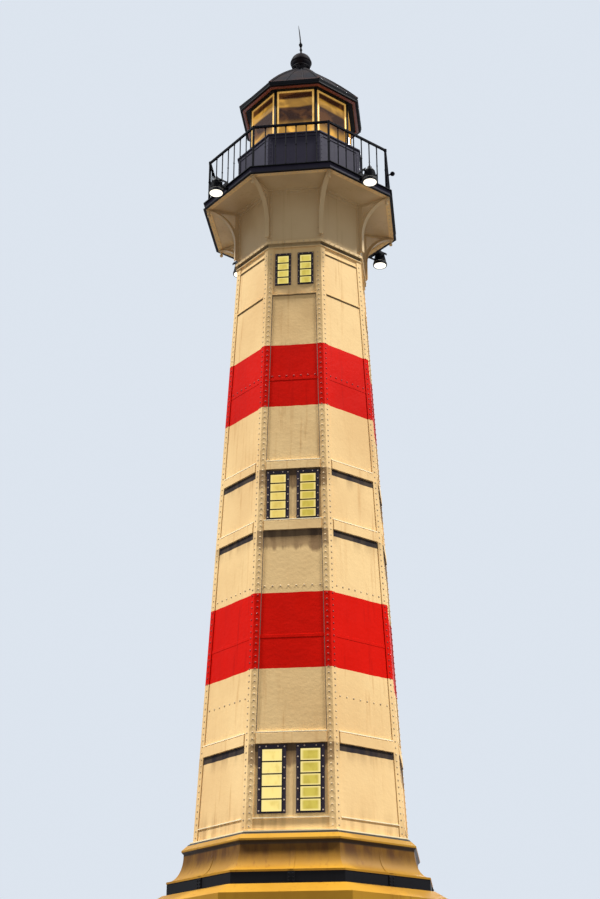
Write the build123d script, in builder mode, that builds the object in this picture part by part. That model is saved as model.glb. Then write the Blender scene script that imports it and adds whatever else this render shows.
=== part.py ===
"""Octagonal iron harbour lighthouse with a gallery and a glazed lantern.

Millimetres, +Z up, origin on the ground at the tower's axis. One face of the
octagon looks along -Y: it is the front, with the door and the windows, and the
back face repeats its windows.
"""
from build123d import *
from math import atan, cos, hypot, radians, sin, tan
import os

os.makedirs("parts", exist_ok=True)

# The octagon
SIDES = 8
SIDE_STEP = 360 / SIDES
HALF_STEP = radians(SIDE_STEP / 2)
FRONT_TURN = -90
BACK_TURN = 90
JOINT_GAP = 0.6

# Heights of the storeys
FOUNDATION_HEIGHT = 200
PEDESTAL_TOP = 3930
SHAFT_HEIGHT = 9724
STRING_COURSE_HEIGHT = 136
WATCH_ROOM_HEIGHT = 1037

# Foundation and pedestal: OUT is the distance of the faces from the axis, REACH how far they stand out
PEDESTAL_OUT = 2060
FOUNDATION_REACH = 100
FOUNDATION_WIDTH = 200
PEDESTAL_WALL = 40
DOOR_WIDTH = 900
DOOR_HEIGHT = 2100
DOOR_FRAME_WIDTH = 70
DOOR_FRAME_DEPTH = 90
DOOR_STOP = 18
DOOR_STOP_DEPTH = 20
DOOR_LEAF = 45
DOOR_PANEL_RECESS = 12
DOOR_STILE = 130
DOOR_CLEARANCE = 3
KNOB_RADIUS = 28
KNOB_REACH = 60

# Base mouldings
LOWER_BAND_REACH = 76
LOWER_BAND_DROP = 116
LOWER_BAND_RISE = 136
FASCIA_OUT = 1861
FASCIA_HEIGHT = 160
FASCIA_LEDGE = 55
LIP_REACH = 8
LIP_HEIGHT = 27
CAVETTO_SPAN = 220
CAVETTO_HEIGHT = 386
CAVETTO_TOP_HEIGHT = 28
BAND_REACH = 31
BAND_UNDERCUT = 34
BAND_EDGE = 22
BAND_RISE = 92
BAND_TOP_REACH = 72
NECK_REACH = 37
NECK_GROOVE = 9
FOOT_LEDGE_REACH = 58
FOOT_LEDGE_HEIGHT = 18
CASTING_WALL = 40
SEAT_WIDTH = 90

# Tapering shaft of riveted plates, with heights above its foot
SHAFT_FOOT_OUT = 1513
SHAFT_HEAD_OUT = 1059
PLATE = 20
ANGLE_WIDTH = 90
ANGLE_THICKNESS = 14
BELT_THICKNESS = 12
BELT_LIP_REACH = 26
BELT_LIP_HEIGHT = 14
LEDGE_REACH = 18
BELT_LEVELS = {"lower": [(1216, 171)], "middle": [(4514, 172), (5546, 152)]}
LOW_LEDGE = 175
PANEL_LEDGE = SHAFT_HEIGHT - 934
HEAD_LEDGE = SHAFT_HEIGHT - 124

# Windows: sill above the shaft's foot, height and width of the glass, distance from the middle
WINDOWS = {
    "lower": (260, 877, 281, 272),
    "middle": (4718, 740, 238, 232),
    "upper": (SHAFT_HEIGHT - 724, 572, 184, 189),
}
WINDOW_FRAME_WIDTHS = {"lower": 60, "middle": 56, "upper": 42}
WINDOW_FRAME_FOOT = 26
WINDOW_FRAME_THICKNESS = 12
WINDOW_REBATE = 9
WINDOW_TUBE_DEPTH = 18
WINDOW_TUBE_WALL = 8
GLASS = 8

# Floors: the lower one above the fascia's foot, the others above the shaft's foot
FLOOR_THICKNESS = 60
LOWER_FLOOR_RISE = 118
FLOOR_LEVELS = {"middle": 3820, "upper": SHAFT_HEIGHT - 1574}

# String course and watch room
STRING_COURSE_REACH = 48
STRING_COURSE_LIP = 60
STRING_COURSE_STEP = 14
STRING_COURSE_RECESS = 12
STRING_COURSE_FOOT_REACH = 32
WATCH_REACH = 3

# Gallery
DECK_OUT = 1618
DECK_THICKNESS = 25
CHANNEL_THICKNESS = 12
CHANNEL_HEIGHT = 140
CHANNEL_DROP = 12
BRACKET_WEB = 20
BRACKET_FLANGE = 80
BRACKET_FLANGE_THICKNESS = 14
BRACKET_HEIGHT = 960
BRACKET_POST = 70
BRACKET_CURVE_HEIGHT = 610
BRACKET_TIP_DEPTH = 45
PENDANT_INSET = 40
PENDANT_DROP = 84
PENDANT_STEM_RADIUS = 16
PENDANT_BALL_RADIUS = 30
POST_INSET = 51
POST_WIDTH = 40
RAIL_HEIGHT = 982
RAIL_WIDTH = 34
RAIL_DEPTH = 22
LOW_RAIL_HEIGHT = 130
BALUSTER_WIDTH = 22
BALUSTERS = 6
POST_RISE = 22
POST_BALL_RADIUS = 26
STUB_HEIGHT = 560
STUB_REACH = 85
STUB_RADIUS = 14
STUB_BALL_RADIUS = 34

# Lantern
MURETTE_OUT = 1084
MURETTE_WALL = 30
MURETTE_HEIGHT = 1150
SILL_DRIP_OUT = 1112
SILL_RISE = 150
SILL_NOSE = 24
SILL_INNER = 860
GLAZING_OUT = 895
MULLION_WIDTH = 40
GLAZING_HEIGHT = 960
PANE_FRAME_WIDTH = 32
PANE_FRAME_DEPTH = 34
PANE_MARGIN = 4
EAVES_OUT = 1081
EAVES_INNER = 850
EAVES_HEIGHT = 76
ROOF_TOP_OUT = 174
ROOF_RISE = 1011
ROOF_BULGE = 30
ROOF_SHEET = 16
ROOF_COURSES = 6
NECK_RADIUS = 150
NECK_HEIGHT = 155
BALL_RADIUS = 195
FINIAL_COLLAR = 60
FINIAL_STEM = 18
FINIAL_BULB = 34
FINIAL_BULB_RISE = 251
FINIAL_HEIGHT = 744
FINIAL_TIP = 5

# Floodlights that hang outside the gallery
LAMP_DISTANCE = 1870
LAMP_RIM_RADIUS = 128
LAMP_RIM_HEIGHT = 52
LAMP_BODY_RADIUS = 108
LAMP_BODY_HEIGHT = 190
LAMP_CAP_RADIUS = 74
LAMP_CAP_HEIGHT = 100
LAMP_LENS_DROP = 137
LAMP_LENS_RADIUS = 112
LAMP_LENS_THICKNESS = 14
LAMP_ARM_WIDTH = 60
LAMP_ARM_THICKNESS = 24

# Distances that follow from the sizes above
FOUNDATION_OUT = PEDESTAL_OUT + FOUNDATION_REACH
LOWER_BAND_OUT = PEDESTAL_OUT + LOWER_BAND_REACH
LIP_OUT = FASCIA_OUT + LIP_REACH
CAVETTO_TOP_OUT = LIP_OUT - CAVETTO_SPAN
BAND_OUT = CAVETTO_TOP_OUT + BAND_REACH
STRING_COURSE_OUT = SHAFT_HEAD_OUT + STRING_COURSE_REACH
WATCH_OUT = SHAFT_HEAD_OUT + WATCH_REACH
POST_DISTANCE = DECK_OUT / cos(HALF_STEP) - POST_INSET

# Levels that follow from the sizes above
FASCIA_FOOT = PEDESTAL_TOP + LOWER_BAND_DROP + LOWER_BAND_RISE
CAVETTO_FOOT = FASCIA_FOOT + FASCIA_HEIGHT + LIP_HEIGHT
BAND_FOOT = CAVETTO_FOOT + CAVETTO_HEIGHT
FOOT_LEDGE = BAND_FOOT + BAND_UNDERCUT + BAND_EDGE + BAND_RISE + NECK_GROOVE
SHAFT_FOOT = FOOT_LEDGE + FOOT_LEDGE_HEIGHT
SHAFT_TOP = SHAFT_FOOT + SHAFT_HEIGHT
WATCH_FOOT = SHAFT_TOP + STRING_COURSE_HEIGHT
DECK_UNDER = WATCH_FOOT + WATCH_ROOM_HEIGHT
DECK_TOP = DECK_UNDER + DECK_THICKNESS
MURETTE_TOP = DECK_TOP + MURETTE_HEIGHT
GLAZING_FOOT = MURETTE_TOP + SILL_RISE
GLAZING_TOP = GLAZING_FOOT + GLAZING_HEIGHT
ROOF_FOOT = GLAZING_TOP + EAVES_HEIGHT
ROOF_TOP = ROOF_FOOT + ROOF_RISE
BALL_CENTRE = ROOF_TOP + NECK_HEIGHT + (BALL_RADIUS ** 2 - NECK_RADIUS ** 2) ** 0.5
BALL_TOP = BALL_CENTRE + BALL_RADIUS
SHAFT_SLOPE = (SHAFT_FOOT_OUT - SHAFT_HEAD_OUT) / SHAFT_HEIGHT
SHAFT_LEAN = atan(SHAFT_SLOPE)


def shaft_out(rise):
    """Distance of the shaft's plates from the axis at a height above its foot."""
    return SHAFT_FOOT_OUT - SHAFT_SLOPE * rise


def shaft_plane():
    """Plane on the outside of the plates of one leaning face: x across, y up the slope."""
    normal = (cos(SHAFT_LEAN), 0, sin(SHAFT_LEAN))
    return Plane(origin=(SHAFT_FOOT_OUT, 0, SHAFT_FOOT), x_dir=(0, 1, 0), z_dir=normal)


def up_slope(rise):
    """Distance up the leaning face to a height above the shaft's foot."""
    return rise / cos(SHAFT_LEAN)


def mitre():
    """Cut the part of the open block to one face of the octagon, with half a joint on each side."""
    for side in (1, -1):
        inward = Vector(sin(HALF_STEP), -side * cos(HALF_STEP), 0)
        split(bisect_by=Plane(origin=inward * JOINT_GAP / 2, z_dir=inward), keep=Keep.TOP)


def save(part, name):
    """Name one sub-part and write it."""
    part.label = name
    export_step(part, f"parts/{name}.step")


def wall_plate(foot, head, foot_out, head_out, thickness):
    """One face of an octagonal wall, with mitred sides that meet its neighbours."""
    with BuildPart() as plate:
        for z, outside in ((foot, foot_out), (head, head_out)):
            inside = outside - thickness
            with BuildSketch(Plane.XY.offset(z)):
                with BuildLine():
                    Polyline(
                        (inside, -inside * tan(HALF_STEP)),
                        (outside, -outside * tan(HALF_STEP)),
                        (outside, outside * tan(HALF_STEP)),
                        (inside, inside * tan(HALF_STEP)),
                        close=True,
                    )
                make_face()
        loft(ruled=True)
    return plate.part


def ring_segment(section):
    """One mitred face of a ring whose section is a list of (distance from the axis, height)."""
    with BuildPart() as segment:
        with BuildSketch(Plane.XZ):
            with BuildLine():
                Polyline(*section, close=True)
            make_face()
        extrude(amount=FOUNDATION_OUT, both=True)
        mitre()
    return segment.part


def around(part, turns):
    """Copies of a part turned about the axis by the given angles."""
    with BuildPart() as ring:
        for turn in turns:
            add(part.rotate(Axis.Z, turn))
    return ring.part


def octagon_slab(under, thickness, under_out, top_out):
    """Full octagonal floor between two heights, as wide as the walls there."""
    with BuildPart() as slab:
        for z, outside in ((under, under_out), (under + thickness, top_out)):
            with BuildSketch(Plane.XY.offset(z)):
                RegularPolygon(outside, SIDES, major_radius=False, rotation=SIDE_STEP / 2)
        loft(ruled=True)
    return slab.part


EVERY_FACE = [SIDE_STEP * k for k in range(SIDES)]
MAIN_SIDES = [0, 180]
MAIN_FACES = [0, 90, 180, 270]
DIAGONALS = [45, 135, 225, 315]

# Foundation ring
foundation = ring_segment([
    (FOUNDATION_OUT - FOUNDATION_WIDTH, 0),
    (FOUNDATION_OUT, 0),
    (FOUNDATION_OUT, FOUNDATION_HEIGHT),
    (FOUNDATION_OUT - FOUNDATION_WIDTH, FOUNDATION_HEIGHT),
])
save(around(foundation, EVERY_FACE), "foundation_ring")

# Ground floor
foundation_in = FOUNDATION_OUT - FOUNDATION_WIDTH
save(
    octagon_slab(FOUNDATION_HEIGHT - FLOOR_THICKNESS, FLOOR_THICKNESS, foundation_in, foundation_in),
    "ground_floor",
)

# Pedestal walls
pedestal_face = wall_plate(FOUNDATION_HEIGHT, PEDESTAL_TOP, PEDESTAL_OUT, PEDESTAL_OUT, PEDESTAL_WALL)
save(around(pedestal_face, [BACK_TURN]), "pedestal_back_wall")
save(around(pedestal_face, MAIN_SIDES), "pedestal_side_walls")
save(around(pedestal_face, DIAGONALS), "pedestal_diagonal_walls")

door_hole_height = DOOR_HEIGHT + DOOR_FRAME_WIDTH
door_hole_width = DOOR_WIDTH + 2 * DOOR_FRAME_WIDTH
with BuildPart() as pedestal_front_wall:
    add(pedestal_face.rotate(Axis.Z, FRONT_TURN))
    with BuildSketch(Plane.XZ.offset(PEDESTAL_OUT - 2 * PEDESTAL_WALL)):
        with Locations((0, FOUNDATION_HEIGHT + door_hole_height / 2)):
            Rectangle(door_hole_width, door_hole_height)
    extrude(amount=3 * PEDESTAL_WALL, mode=Mode.SUBTRACT)
save(pedestal_front_wall.part, "pedestal_front_wall")

# Doorway frame and the closed door leaf
frame_back = PEDESTAL_OUT - PEDESTAL_WALL
with BuildPart() as door_frame:
    with BuildSketch(Plane.XZ.offset(frame_back)):
        with Locations((0, FOUNDATION_HEIGHT + door_hole_height / 2)):
            Rectangle(door_hole_width, door_hole_height)
        with Locations((0, FOUNDATION_HEIGHT + DOOR_HEIGHT / 2)):
            Rectangle(DOOR_WIDTH, DOOR_HEIGHT, mode=Mode.SUBTRACT)
    extrude(amount=DOOR_FRAME_DEPTH)
    with BuildSketch(Plane.XZ.offset(frame_back)):
        with Locations((0, FOUNDATION_HEIGHT + DOOR_HEIGHT / 2)):
            Rectangle(DOOR_WIDTH, DOOR_HEIGHT)
        with Locations((0, FOUNDATION_HEIGHT + (DOOR_HEIGHT - DOOR_STOP) / 2)):
            Rectangle(DOOR_WIDTH - 2 * DOOR_STOP, DOOR_HEIGHT - DOOR_STOP, mode=Mode.SUBTRACT)
    extrude(amount=DOOR_STOP_DEPTH)
save(door_frame.part, "door_frame")

leaf_width = DOOR_WIDTH - 2 * DOOR_CLEARANCE
leaf_height = DOOR_HEIGHT - 2 * DOOR_CLEARANCE
leaf_middle = FOUNDATION_HEIGHT + DOOR_HEIGHT / 2
panel_height = (leaf_height - 3 * DOOR_STILE) / 2
panel_width = leaf_width - 2 * DOOR_STILE
leaf_back = frame_back + DOOR_STOP_DEPTH
leaf_front = leaf_back + DOOR_LEAF
with BuildPart() as door_leaf:
    with BuildSketch(Plane.XZ.offset(leaf_back)):
        with Locations((0, leaf_middle)):
            Rectangle(leaf_width, leaf_height)
    extrude(amount=DOOR_LEAF)
    with BuildSketch(Plane.XZ.offset(leaf_front)):
        with Locations((0, leaf_middle)):
            with GridLocations(0, panel_height + DOOR_STILE, 1, 2):
                Rectangle(panel_width, panel_height)
    extrude(amount=-DOOR_PANEL_RECESS, mode=Mode.SUBTRACT)
    knob_x = (leaf_width - DOOR_STILE) / 2
    with BuildSketch(Plane.XZ.offset(leaf_front)):
        with Locations((knob_x, leaf_middle)):
            Circle(KNOB_RADIUS / 2)
    extrude(amount=KNOB_REACH - KNOB_RADIUS)
    with Locations((knob_x, KNOB_RADIUS - KNOB_REACH - leaf_front, leaf_middle)):
        Sphere(KNOB_RADIUS)
save(door_leaf.part, "door_leaf")

# Base mouldings, each cast in mitred segments
band_top_out = FASCIA_OUT + FASCIA_LEDGE
lower_band = ring_segment([
    (PEDESTAL_OUT - PEDESTAL_WALL, PEDESTAL_TOP),
    (LOWER_BAND_OUT, PEDESTAL_TOP),
    (LOWER_BAND_OUT, PEDESTAL_TOP + LOWER_BAND_DROP),
    (band_top_out, FASCIA_FOOT),
    (FASCIA_OUT - CASTING_WALL, FASCIA_FOOT),
    (FASCIA_OUT - CASTING_WALL, FASCIA_FOOT - CASTING_WALL),
])
save(around(lower_band, EVERY_FACE), "base_lower_band")

fascia = ring_segment([
    (FASCIA_OUT - CASTING_WALL, FASCIA_FOOT),
    (FASCIA_OUT, FASCIA_FOOT),
    (FASCIA_OUT, FASCIA_FOOT + FASCIA_HEIGHT),
    (FASCIA_OUT - CASTING_WALL, FASCIA_FOOT + FASCIA_HEIGHT),
])
save(around(fascia, EVERY_FACE), "base_fascia")

cavetto_curve_height = CAVETTO_HEIGHT - CAVETTO_TOP_HEIGHT
with BuildPart() as cavetto:
    with BuildSketch(Plane.XZ):
        with BuildLine():
            Polyline(
                (CAVETTO_TOP_OUT, BAND_FOOT - CAVETTO_TOP_HEIGHT),
                (CAVETTO_TOP_OUT, BAND_FOOT),
                (CAVETTO_TOP_OUT - CASTING_WALL, BAND_FOOT),
                (CAVETTO_TOP_OUT - CASTING_WALL, CAVETTO_FOOT + cavetto_curve_height / 2),
                (FASCIA_OUT - CASTING_WALL, CAVETTO_FOOT - LIP_HEIGHT),
                (LIP_OUT, CAVETTO_FOOT - LIP_HEIGHT),
                (LIP_OUT, CAVETTO_FOOT),
            )
            EllipticalCenterArc(
                (LIP_OUT, BAND_FOOT - CAVETTO_TOP_HEIGHT),
                CAVETTO_SPAN,
                cavetto_curve_height,
                start_angle=180,
                arc_size=90,
            )
        make_face()
    extrude(amount=FOUNDATION_OUT, both=True)
    mitre()
save(around(cavetto.part, EVERY_FACE), "base_cavetto")

band_edge_top = BAND_FOOT + BAND_UNDERCUT + BAND_EDGE
neck_out = SHAFT_FOOT_OUT + NECK_REACH
foot_ledge_out = SHAFT_FOOT_OUT + FOOT_LEDGE_REACH
top_band = ring_segment([
    (CAVETTO_TOP_OUT - CASTING_WALL, BAND_FOOT),
    (CAVETTO_TOP_OUT, BAND_FOOT),
    (BAND_OUT, BAND_FOOT + BAND_UNDERCUT),
    (BAND_OUT, band_edge_top),
    (SHAFT_FOOT_OUT + BAND_TOP_REACH, band_edge_top + BAND_RISE),
    (neck_out, band_edge_top + BAND_RISE),
    (neck_out, FOOT_LEDGE),
    (foot_ledge_out, FOOT_LEDGE),
    (foot_ledge_out, SHAFT_FOOT),
    (foot_ledge_out - SEAT_WIDTH, SHAFT_FOOT),
    (foot_ledge_out - SEAT_WIDTH, SHAFT_FOOT - CASTING_WALL),
])
save(around(top_band, EVERY_FACE), "base_top_band")

# Shaft walls
shaft_face = wall_plate(SHAFT_FOOT, SHAFT_TOP, SHAFT_FOOT_OUT, SHAFT_HEAD_OUT, PLATE)
save(around(shaft_face, MAIN_SIDES), "shaft_side_walls")
save(around(shaft_face, DIAGONALS), "shaft_diagonal_walls")


def window_places(storey):
    """Middle of each window of one storey on the leaning face: across, and up the slope."""
    sill, height, _, across = WINDOWS[storey]
    return [(side * across, up_slope(sill + height / 2)) for side in (-1, 1)]


with BuildPart() as window_wall:
    add(shaft_face)
    for storey, (_, height, width, _) in WINDOWS.items():
        with BuildSketch(shaft_plane().offset(-2 * PLATE)):
            with Locations(*window_places(storey)):
                Rectangle(width + 2 * WINDOW_TUBE_WALL, height + 2 * WINDOW_TUBE_WALL)
        extrude(amount=3 * PLATE, mode=Mode.SUBTRACT)
save(around(window_wall.part, [FRONT_TURN]), "shaft_front_wall")
save(around(window_wall.part, [BACK_TURN]), "shaft_back_wall")

# Window frames: a flange on the plates and a short tube through them, with the glass at its end
all_glass = []
for storey, (_, height, width, _) in WINDOWS.items():
    places = window_places(storey)
    frame_width = WINDOW_FRAME_WIDTHS[storey]
    flange_height = height + frame_width + WINDOW_FRAME_FOOT
    flange_lift = (frame_width - WINDOW_FRAME_FOOT) / 2
    with BuildPart() as frames:
        with BuildSketch(shaft_plane()):
            with Locations(*[(across, up + flange_lift) for across, up in places]):
                Rectangle(width + 2 * frame_width, flange_height)
            with Locations(*places):
                Rectangle(width, height, mode=Mode.SUBTRACT)
        extrude(amount=WINDOW_FRAME_THICKNESS)
        with BuildSketch(shaft_plane()):
            with Locations(*places):
                Rectangle(width + 2 * WINDOW_TUBE_WALL, height + 2 * WINDOW_TUBE_WALL)
                Rectangle(width, height, mode=Mode.SUBTRACT)
        extrude(amount=-WINDOW_TUBE_DEPTH)
        with BuildSketch(shaft_plane().offset(-WINDOW_TUBE_DEPTH)):
            with Locations(*places):
                Rectangle(width + 2 * WINDOW_TUBE_WALL, height + 2 * WINDOW_TUBE_WALL)
                Rectangle(width - 2 * WINDOW_REBATE, height - 2 * WINDOW_REBATE, mode=Mode.SUBTRACT)
        extrude(amount=-WINDOW_REBATE)
    save(around(frames.part, [FRONT_TURN, BACK_TURN]), f"{storey}_window_frames")
    with BuildPart() as glass:
        with BuildSketch(shaft_plane().offset(-WINDOW_TUBE_DEPTH)):
            with Locations(*places):
                Rectangle(width, height)
        extrude(amount=GLASS)
    save(around(glass.part, [FRONT_TURN, BACK_TURN]), f"{storey}_window_glass")

# Corner angles: one flange on each face beside the corner
head_shift = (SHAFT_FOOT_OUT - SHAFT_HEAD_OUT) / cos(HALF_STEP)
corner_angle_way = Vector(-head_shift * cos(HALF_STEP), -head_shift * sin(HALF_STEP), SHAFT_HEIGHT)


def across_corner(point):
    """Mirror a point in the line through the axis and the corner."""
    x, y = point
    turn = 2 * HALF_STEP
    return (x * cos(turn) + y * sin(turn), x * sin(turn) - y * cos(turn))


angle_outside = SHAFT_FOOT_OUT + ANGLE_THICKNESS
flange_end = SHAFT_FOOT_OUT * tan(HALF_STEP) - ANGLE_WIDTH
flange = [(SHAFT_FOOT_OUT, flange_end), (angle_outside, flange_end)]
with BuildPart() as corner_angle:
    with BuildSketch(Plane.XY.offset(SHAFT_FOOT)):
        with BuildLine():
            Polyline(
                (SHAFT_FOOT_OUT, SHAFT_FOOT_OUT * tan(HALF_STEP)),
                flange[0],
                flange[1],
                (angle_outside, angle_outside * tan(HALF_STEP)),
                across_corner(flange[1]),
                across_corner(flange[0]),
                close=True,
            )
        make_face()
    extrude(amount=corner_angle_way.length, dir=corner_angle_way)
save(around(corner_angle.part, EVERY_FACE), "corner_angles")


def strip_width(rise):
    """Length of a strip between the corner angles at a height above the shaft's foot."""
    return 2 * (shaft_out(rise) * tan(HALF_STEP) - ANGLE_WIDTH) - JOINT_GAP


def belts(levels):
    """Belts with a lip along the top edge, on one face of the shaft."""
    with BuildPart() as strips:
        for foot, height in levels:
            width = strip_width(foot + height)
            with BuildSketch(shaft_plane()):
                with Locations((0, up_slope(foot + height / 2))):
                    Rectangle(width, height)
            extrude(amount=BELT_THICKNESS)
            with BuildSketch(shaft_plane()):
                with Locations((0, up_slope(foot + height - BELT_LIP_HEIGHT / 2))):
                    Rectangle(width, BELT_LIP_HEIGHT)
            extrude(amount=BELT_LIP_REACH)
    return strips.part


def ledges(levels):
    """Thin ledges on one face of the shaft."""
    with BuildPart() as strips:
        for rise in levels:
            with BuildSketch(shaft_plane()):
                with Locations((0, up_slope(rise))):
                    Rectangle(strip_width(rise), BELT_LIP_HEIGHT)
            extrude(amount=LEDGE_REACH)
    return strips.part


save(around(belts(BELT_LEVELS["lower"]), EVERY_FACE), "lower_belts")
save(around(belts(BELT_LEVELS["middle"]), EVERY_FACE), "middle_belts")
save(around(ledges([LOW_LEDGE]), EVERY_FACE), "lower_ledges")
save(around(ledges([PANEL_LEDGE]), EVERY_FACE), "upper_ledges")
save(around(ledges([HEAD_LEDGE]), MAIN_SIDES + DIAGONALS), "head_ledges")

# Floors of the storeys, as wide as the walls round them
fascia_in = FASCIA_OUT - CASTING_WALL
lower_floor_under = FASCIA_FOOT + LOWER_FLOOR_RISE - FLOOR_THICKNESS
save(octagon_slab(lower_floor_under, FLOOR_THICKNESS, fascia_in, fascia_in), "lower_floor")
for storey, top in FLOOR_LEVELS.items():
    under = top - FLOOR_THICKNESS
    save(
        octagon_slab(
            SHAFT_FOOT + under, FLOOR_THICKNESS, shaft_out(under) - PLATE, shaft_out(top) - PLATE
        ),
        f"{storey}_floor",
    )

# String course and the watch room's walls
string_course = ring_segment([
    (SHAFT_HEAD_OUT - PLATE, SHAFT_TOP),
    (SHAFT_HEAD_OUT + STRING_COURSE_FOOT_REACH, SHAFT_TOP),
    (SHAFT_HEAD_OUT + STRING_COURSE_FOOT_REACH, SHAFT_TOP + STRING_COURSE_STEP),
    (SHAFT_HEAD_OUT + STRING_COURSE_RECESS, SHAFT_TOP + STRING_COURSE_STEP),
    (SHAFT_HEAD_OUT + STRING_COURSE_RECESS, WATCH_FOOT - STRING_COURSE_LIP),
    (STRING_COURSE_OUT, WATCH_FOOT - STRING_COURSE_LIP),
    (STRING_COURSE_OUT, WATCH_FOOT - STRING_COURSE_STEP),
    (STRING_COURSE_OUT - STRING_COURSE_STEP, WATCH_FOOT),
    (SHAFT_HEAD_OUT - PLATE, WATCH_FOOT),
])
save(around(string_course, EVERY_FACE), "string_course")

watch_face = wall_plate(WATCH_FOOT, DECK_UNDER, WATCH_OUT, WATCH_OUT, PLATE)
save(around(watch_face, MAIN_FACES), "watch_room_main_walls")
save(around(watch_face, DIAGONALS), "watch_room_diagonal_walls")

# Gallery deck and its edge channel
save(octagon_slab(DECK_UNDER, DECK_THICKNESS, DECK_OUT, DECK_OUT), "gallery_deck")
channel = ring_segment([
    (DECK_OUT, DECK_UNDER - CHANNEL_DROP),
    (DECK_OUT + CHANNEL_THICKNESS, DECK_UNDER - CHANNEL_DROP),
    (DECK_OUT + CHANNEL_THICKNESS, DECK_UNDER - CHANNEL_DROP + CHANNEL_HEIGHT),
    (DECK_OUT, DECK_UNDER - CHANNEL_DROP + CHANNEL_HEIGHT),
])
save(around(channel, EVERY_FACE), "gallery_edge")

# Curved brackets in the corners, drawn from the wall's corner outwards
wall_corner = WATCH_OUT / cos(HALF_STEP)
tip = DECK_OUT / cos(HALF_STEP) - BRACKET_WEB
curve_start = wall_corner + BRACKET_POST
curve_span = tip - curve_start
bracket_foot = DECK_UNDER - BRACKET_HEIGHT
tip_foot = DECK_UNDER - BRACKET_TIP_DEPTH
curve_foot = tip_foot - BRACKET_CURVE_HEIGHT


corner_plane = Plane(
    origin=(0, 0, 0),
    x_dir=(cos(HALF_STEP), sin(HALF_STEP), 0),
    z_dir=(sin(HALF_STEP), -cos(HALF_STEP), 0),
)
strut_ribs = [
    (BRACKET_POST, BRACKET_TIP_DEPTH, BRACKET_WEB),
    (BRACKET_FLANGE_THICKNESS, BRACKET_FLANGE_THICKNESS, BRACKET_FLANGE),
]
with BuildPart() as bracket:
    for post_depth, tip_depth, width in strut_ribs:
        with BuildSketch(corner_plane):
            with BuildLine():
                Polyline(
                    (curve_start, curve_foot),
                    (curve_start, bracket_foot),
                    (curve_start - post_depth, bracket_foot),
                    (curve_start - post_depth, curve_foot),
                )
                EllipticalCenterArc(
                    (tip, curve_foot), curve_span, BRACKET_CURVE_HEIGHT, start_angle=90, arc_size=90
                )
                EllipticalCenterArc(
                    (tip, curve_foot), curve_span + post_depth, BRACKET_CURVE_HEIGHT + tip_depth,
                    start_angle=90, arc_size=90,
                )
                Line((tip, tip_foot), (tip, tip_foot + tip_depth))
            make_face()
        extrude(amount=width / 2, both=True)
    with BuildSketch(corner_plane):
        with Locations((wall_corner, DECK_UNDER)):
            Rectangle(BRACKET_POST, BRACKET_HEIGHT, align=(Align.MIN, Align.MAX))
            Rectangle(tip - wall_corner, BRACKET_TIP_DEPTH, align=(Align.MIN, Align.MAX))
    extrude(amount=BRACKET_WEB / 2, both=True)
    pendant_out = tip - PENDANT_INSET
    pendant_foot = tip_foot - PENDANT_DROP
    with Locations((pendant_out * cos(HALF_STEP), pendant_out * sin(HALF_STEP), pendant_foot)):
        Cylinder(PENDANT_STEM_RADIUS, PENDANT_DROP + BRACKET_FLANGE_THICKNESS,
                 align=(Align.CENTER, Align.CENTER, Align.MIN))
        Sphere(PENDANT_BALL_RADIUS)
save(around(bracket.part, EVERY_FACE), "gallery_brackets")

# Railing: corner posts, and a panel of bars between each two
with BuildPart() as post:
    with BuildSketch(Plane.XY.offset(DECK_TOP)):
        with PolarLocations(POST_DISTANCE, 1, start_angle=SIDE_STEP / 2):
            RegularPolygon(POST_WIDTH / 2, 8, major_radius=False)
    extrude(amount=RAIL_HEIGHT + POST_RISE + POST_BALL_RADIUS)
    post_top = DECK_TOP + RAIL_HEIGHT + POST_RISE
    with Locations((POST_DISTANCE * cos(HALF_STEP), POST_DISTANCE * sin(HALF_STEP),
                    post_top + POST_BALL_RADIUS)):
        Sphere(POST_BALL_RADIUS)

stub_angle = radians(FRONT_TURN) + 3 * HALF_STEP
stub_way = Vector(cos(stub_angle), sin(stub_angle), 0)
stub_root = stub_way * POST_DISTANCE + Vector(0, 0, DECK_TOP + STUB_HEIGHT)
with BuildPart() as posts:
    add(around(post.part, EVERY_FACE))
    with BuildSketch(Plane(origin=stub_root, z_dir=stub_way)):
        Circle(STUB_RADIUS)
    extrude(amount=STUB_REACH)
    with Locations(stub_root + stub_way * STUB_REACH):
        Sphere(STUB_BALL_RADIUS)
save(posts.part, "gallery_posts")

rail_out = POST_DISTANCE * cos(HALF_STEP)
rail_length = 2 * POST_DISTANCE * sin(HALF_STEP) - POST_WIDTH
bay = (rail_length - BALUSTER_WIDTH) / (BALUSTERS + 1)
with BuildPart() as railing:
    for height in (RAIL_HEIGHT - RAIL_DEPTH, LOW_RAIL_HEIGHT):
        with Locations((rail_out, 0, DECK_TOP + height + RAIL_DEPTH / 2)):
            Box(RAIL_WIDTH, rail_length, RAIL_DEPTH)
    with BuildSketch(Plane.XY.offset(DECK_TOP + LOW_RAIL_HEIGHT)):
        with Locations((rail_out, 0)):
            with GridLocations(0, bay, 1, BALUSTERS):
                RegularPolygon(BALUSTER_WIDTH / 2, 6)
    extrude(amount=RAIL_HEIGHT - LOW_RAIL_HEIGHT - RAIL_DEPTH / 2)
save(around(railing.part, EVERY_FACE), "gallery_railings")

# Wall under the lantern and the sill that slopes up to the glazing
murette = ring_segment([
    (MURETTE_OUT - MURETTE_WALL, DECK_TOP),
    (MURETTE_OUT, DECK_TOP),
    (MURETTE_OUT, MURETTE_TOP),
    (MURETTE_OUT - MURETTE_WALL, MURETTE_TOP),
])
save(around(murette, EVERY_FACE), "lantern_base_wall")

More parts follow.
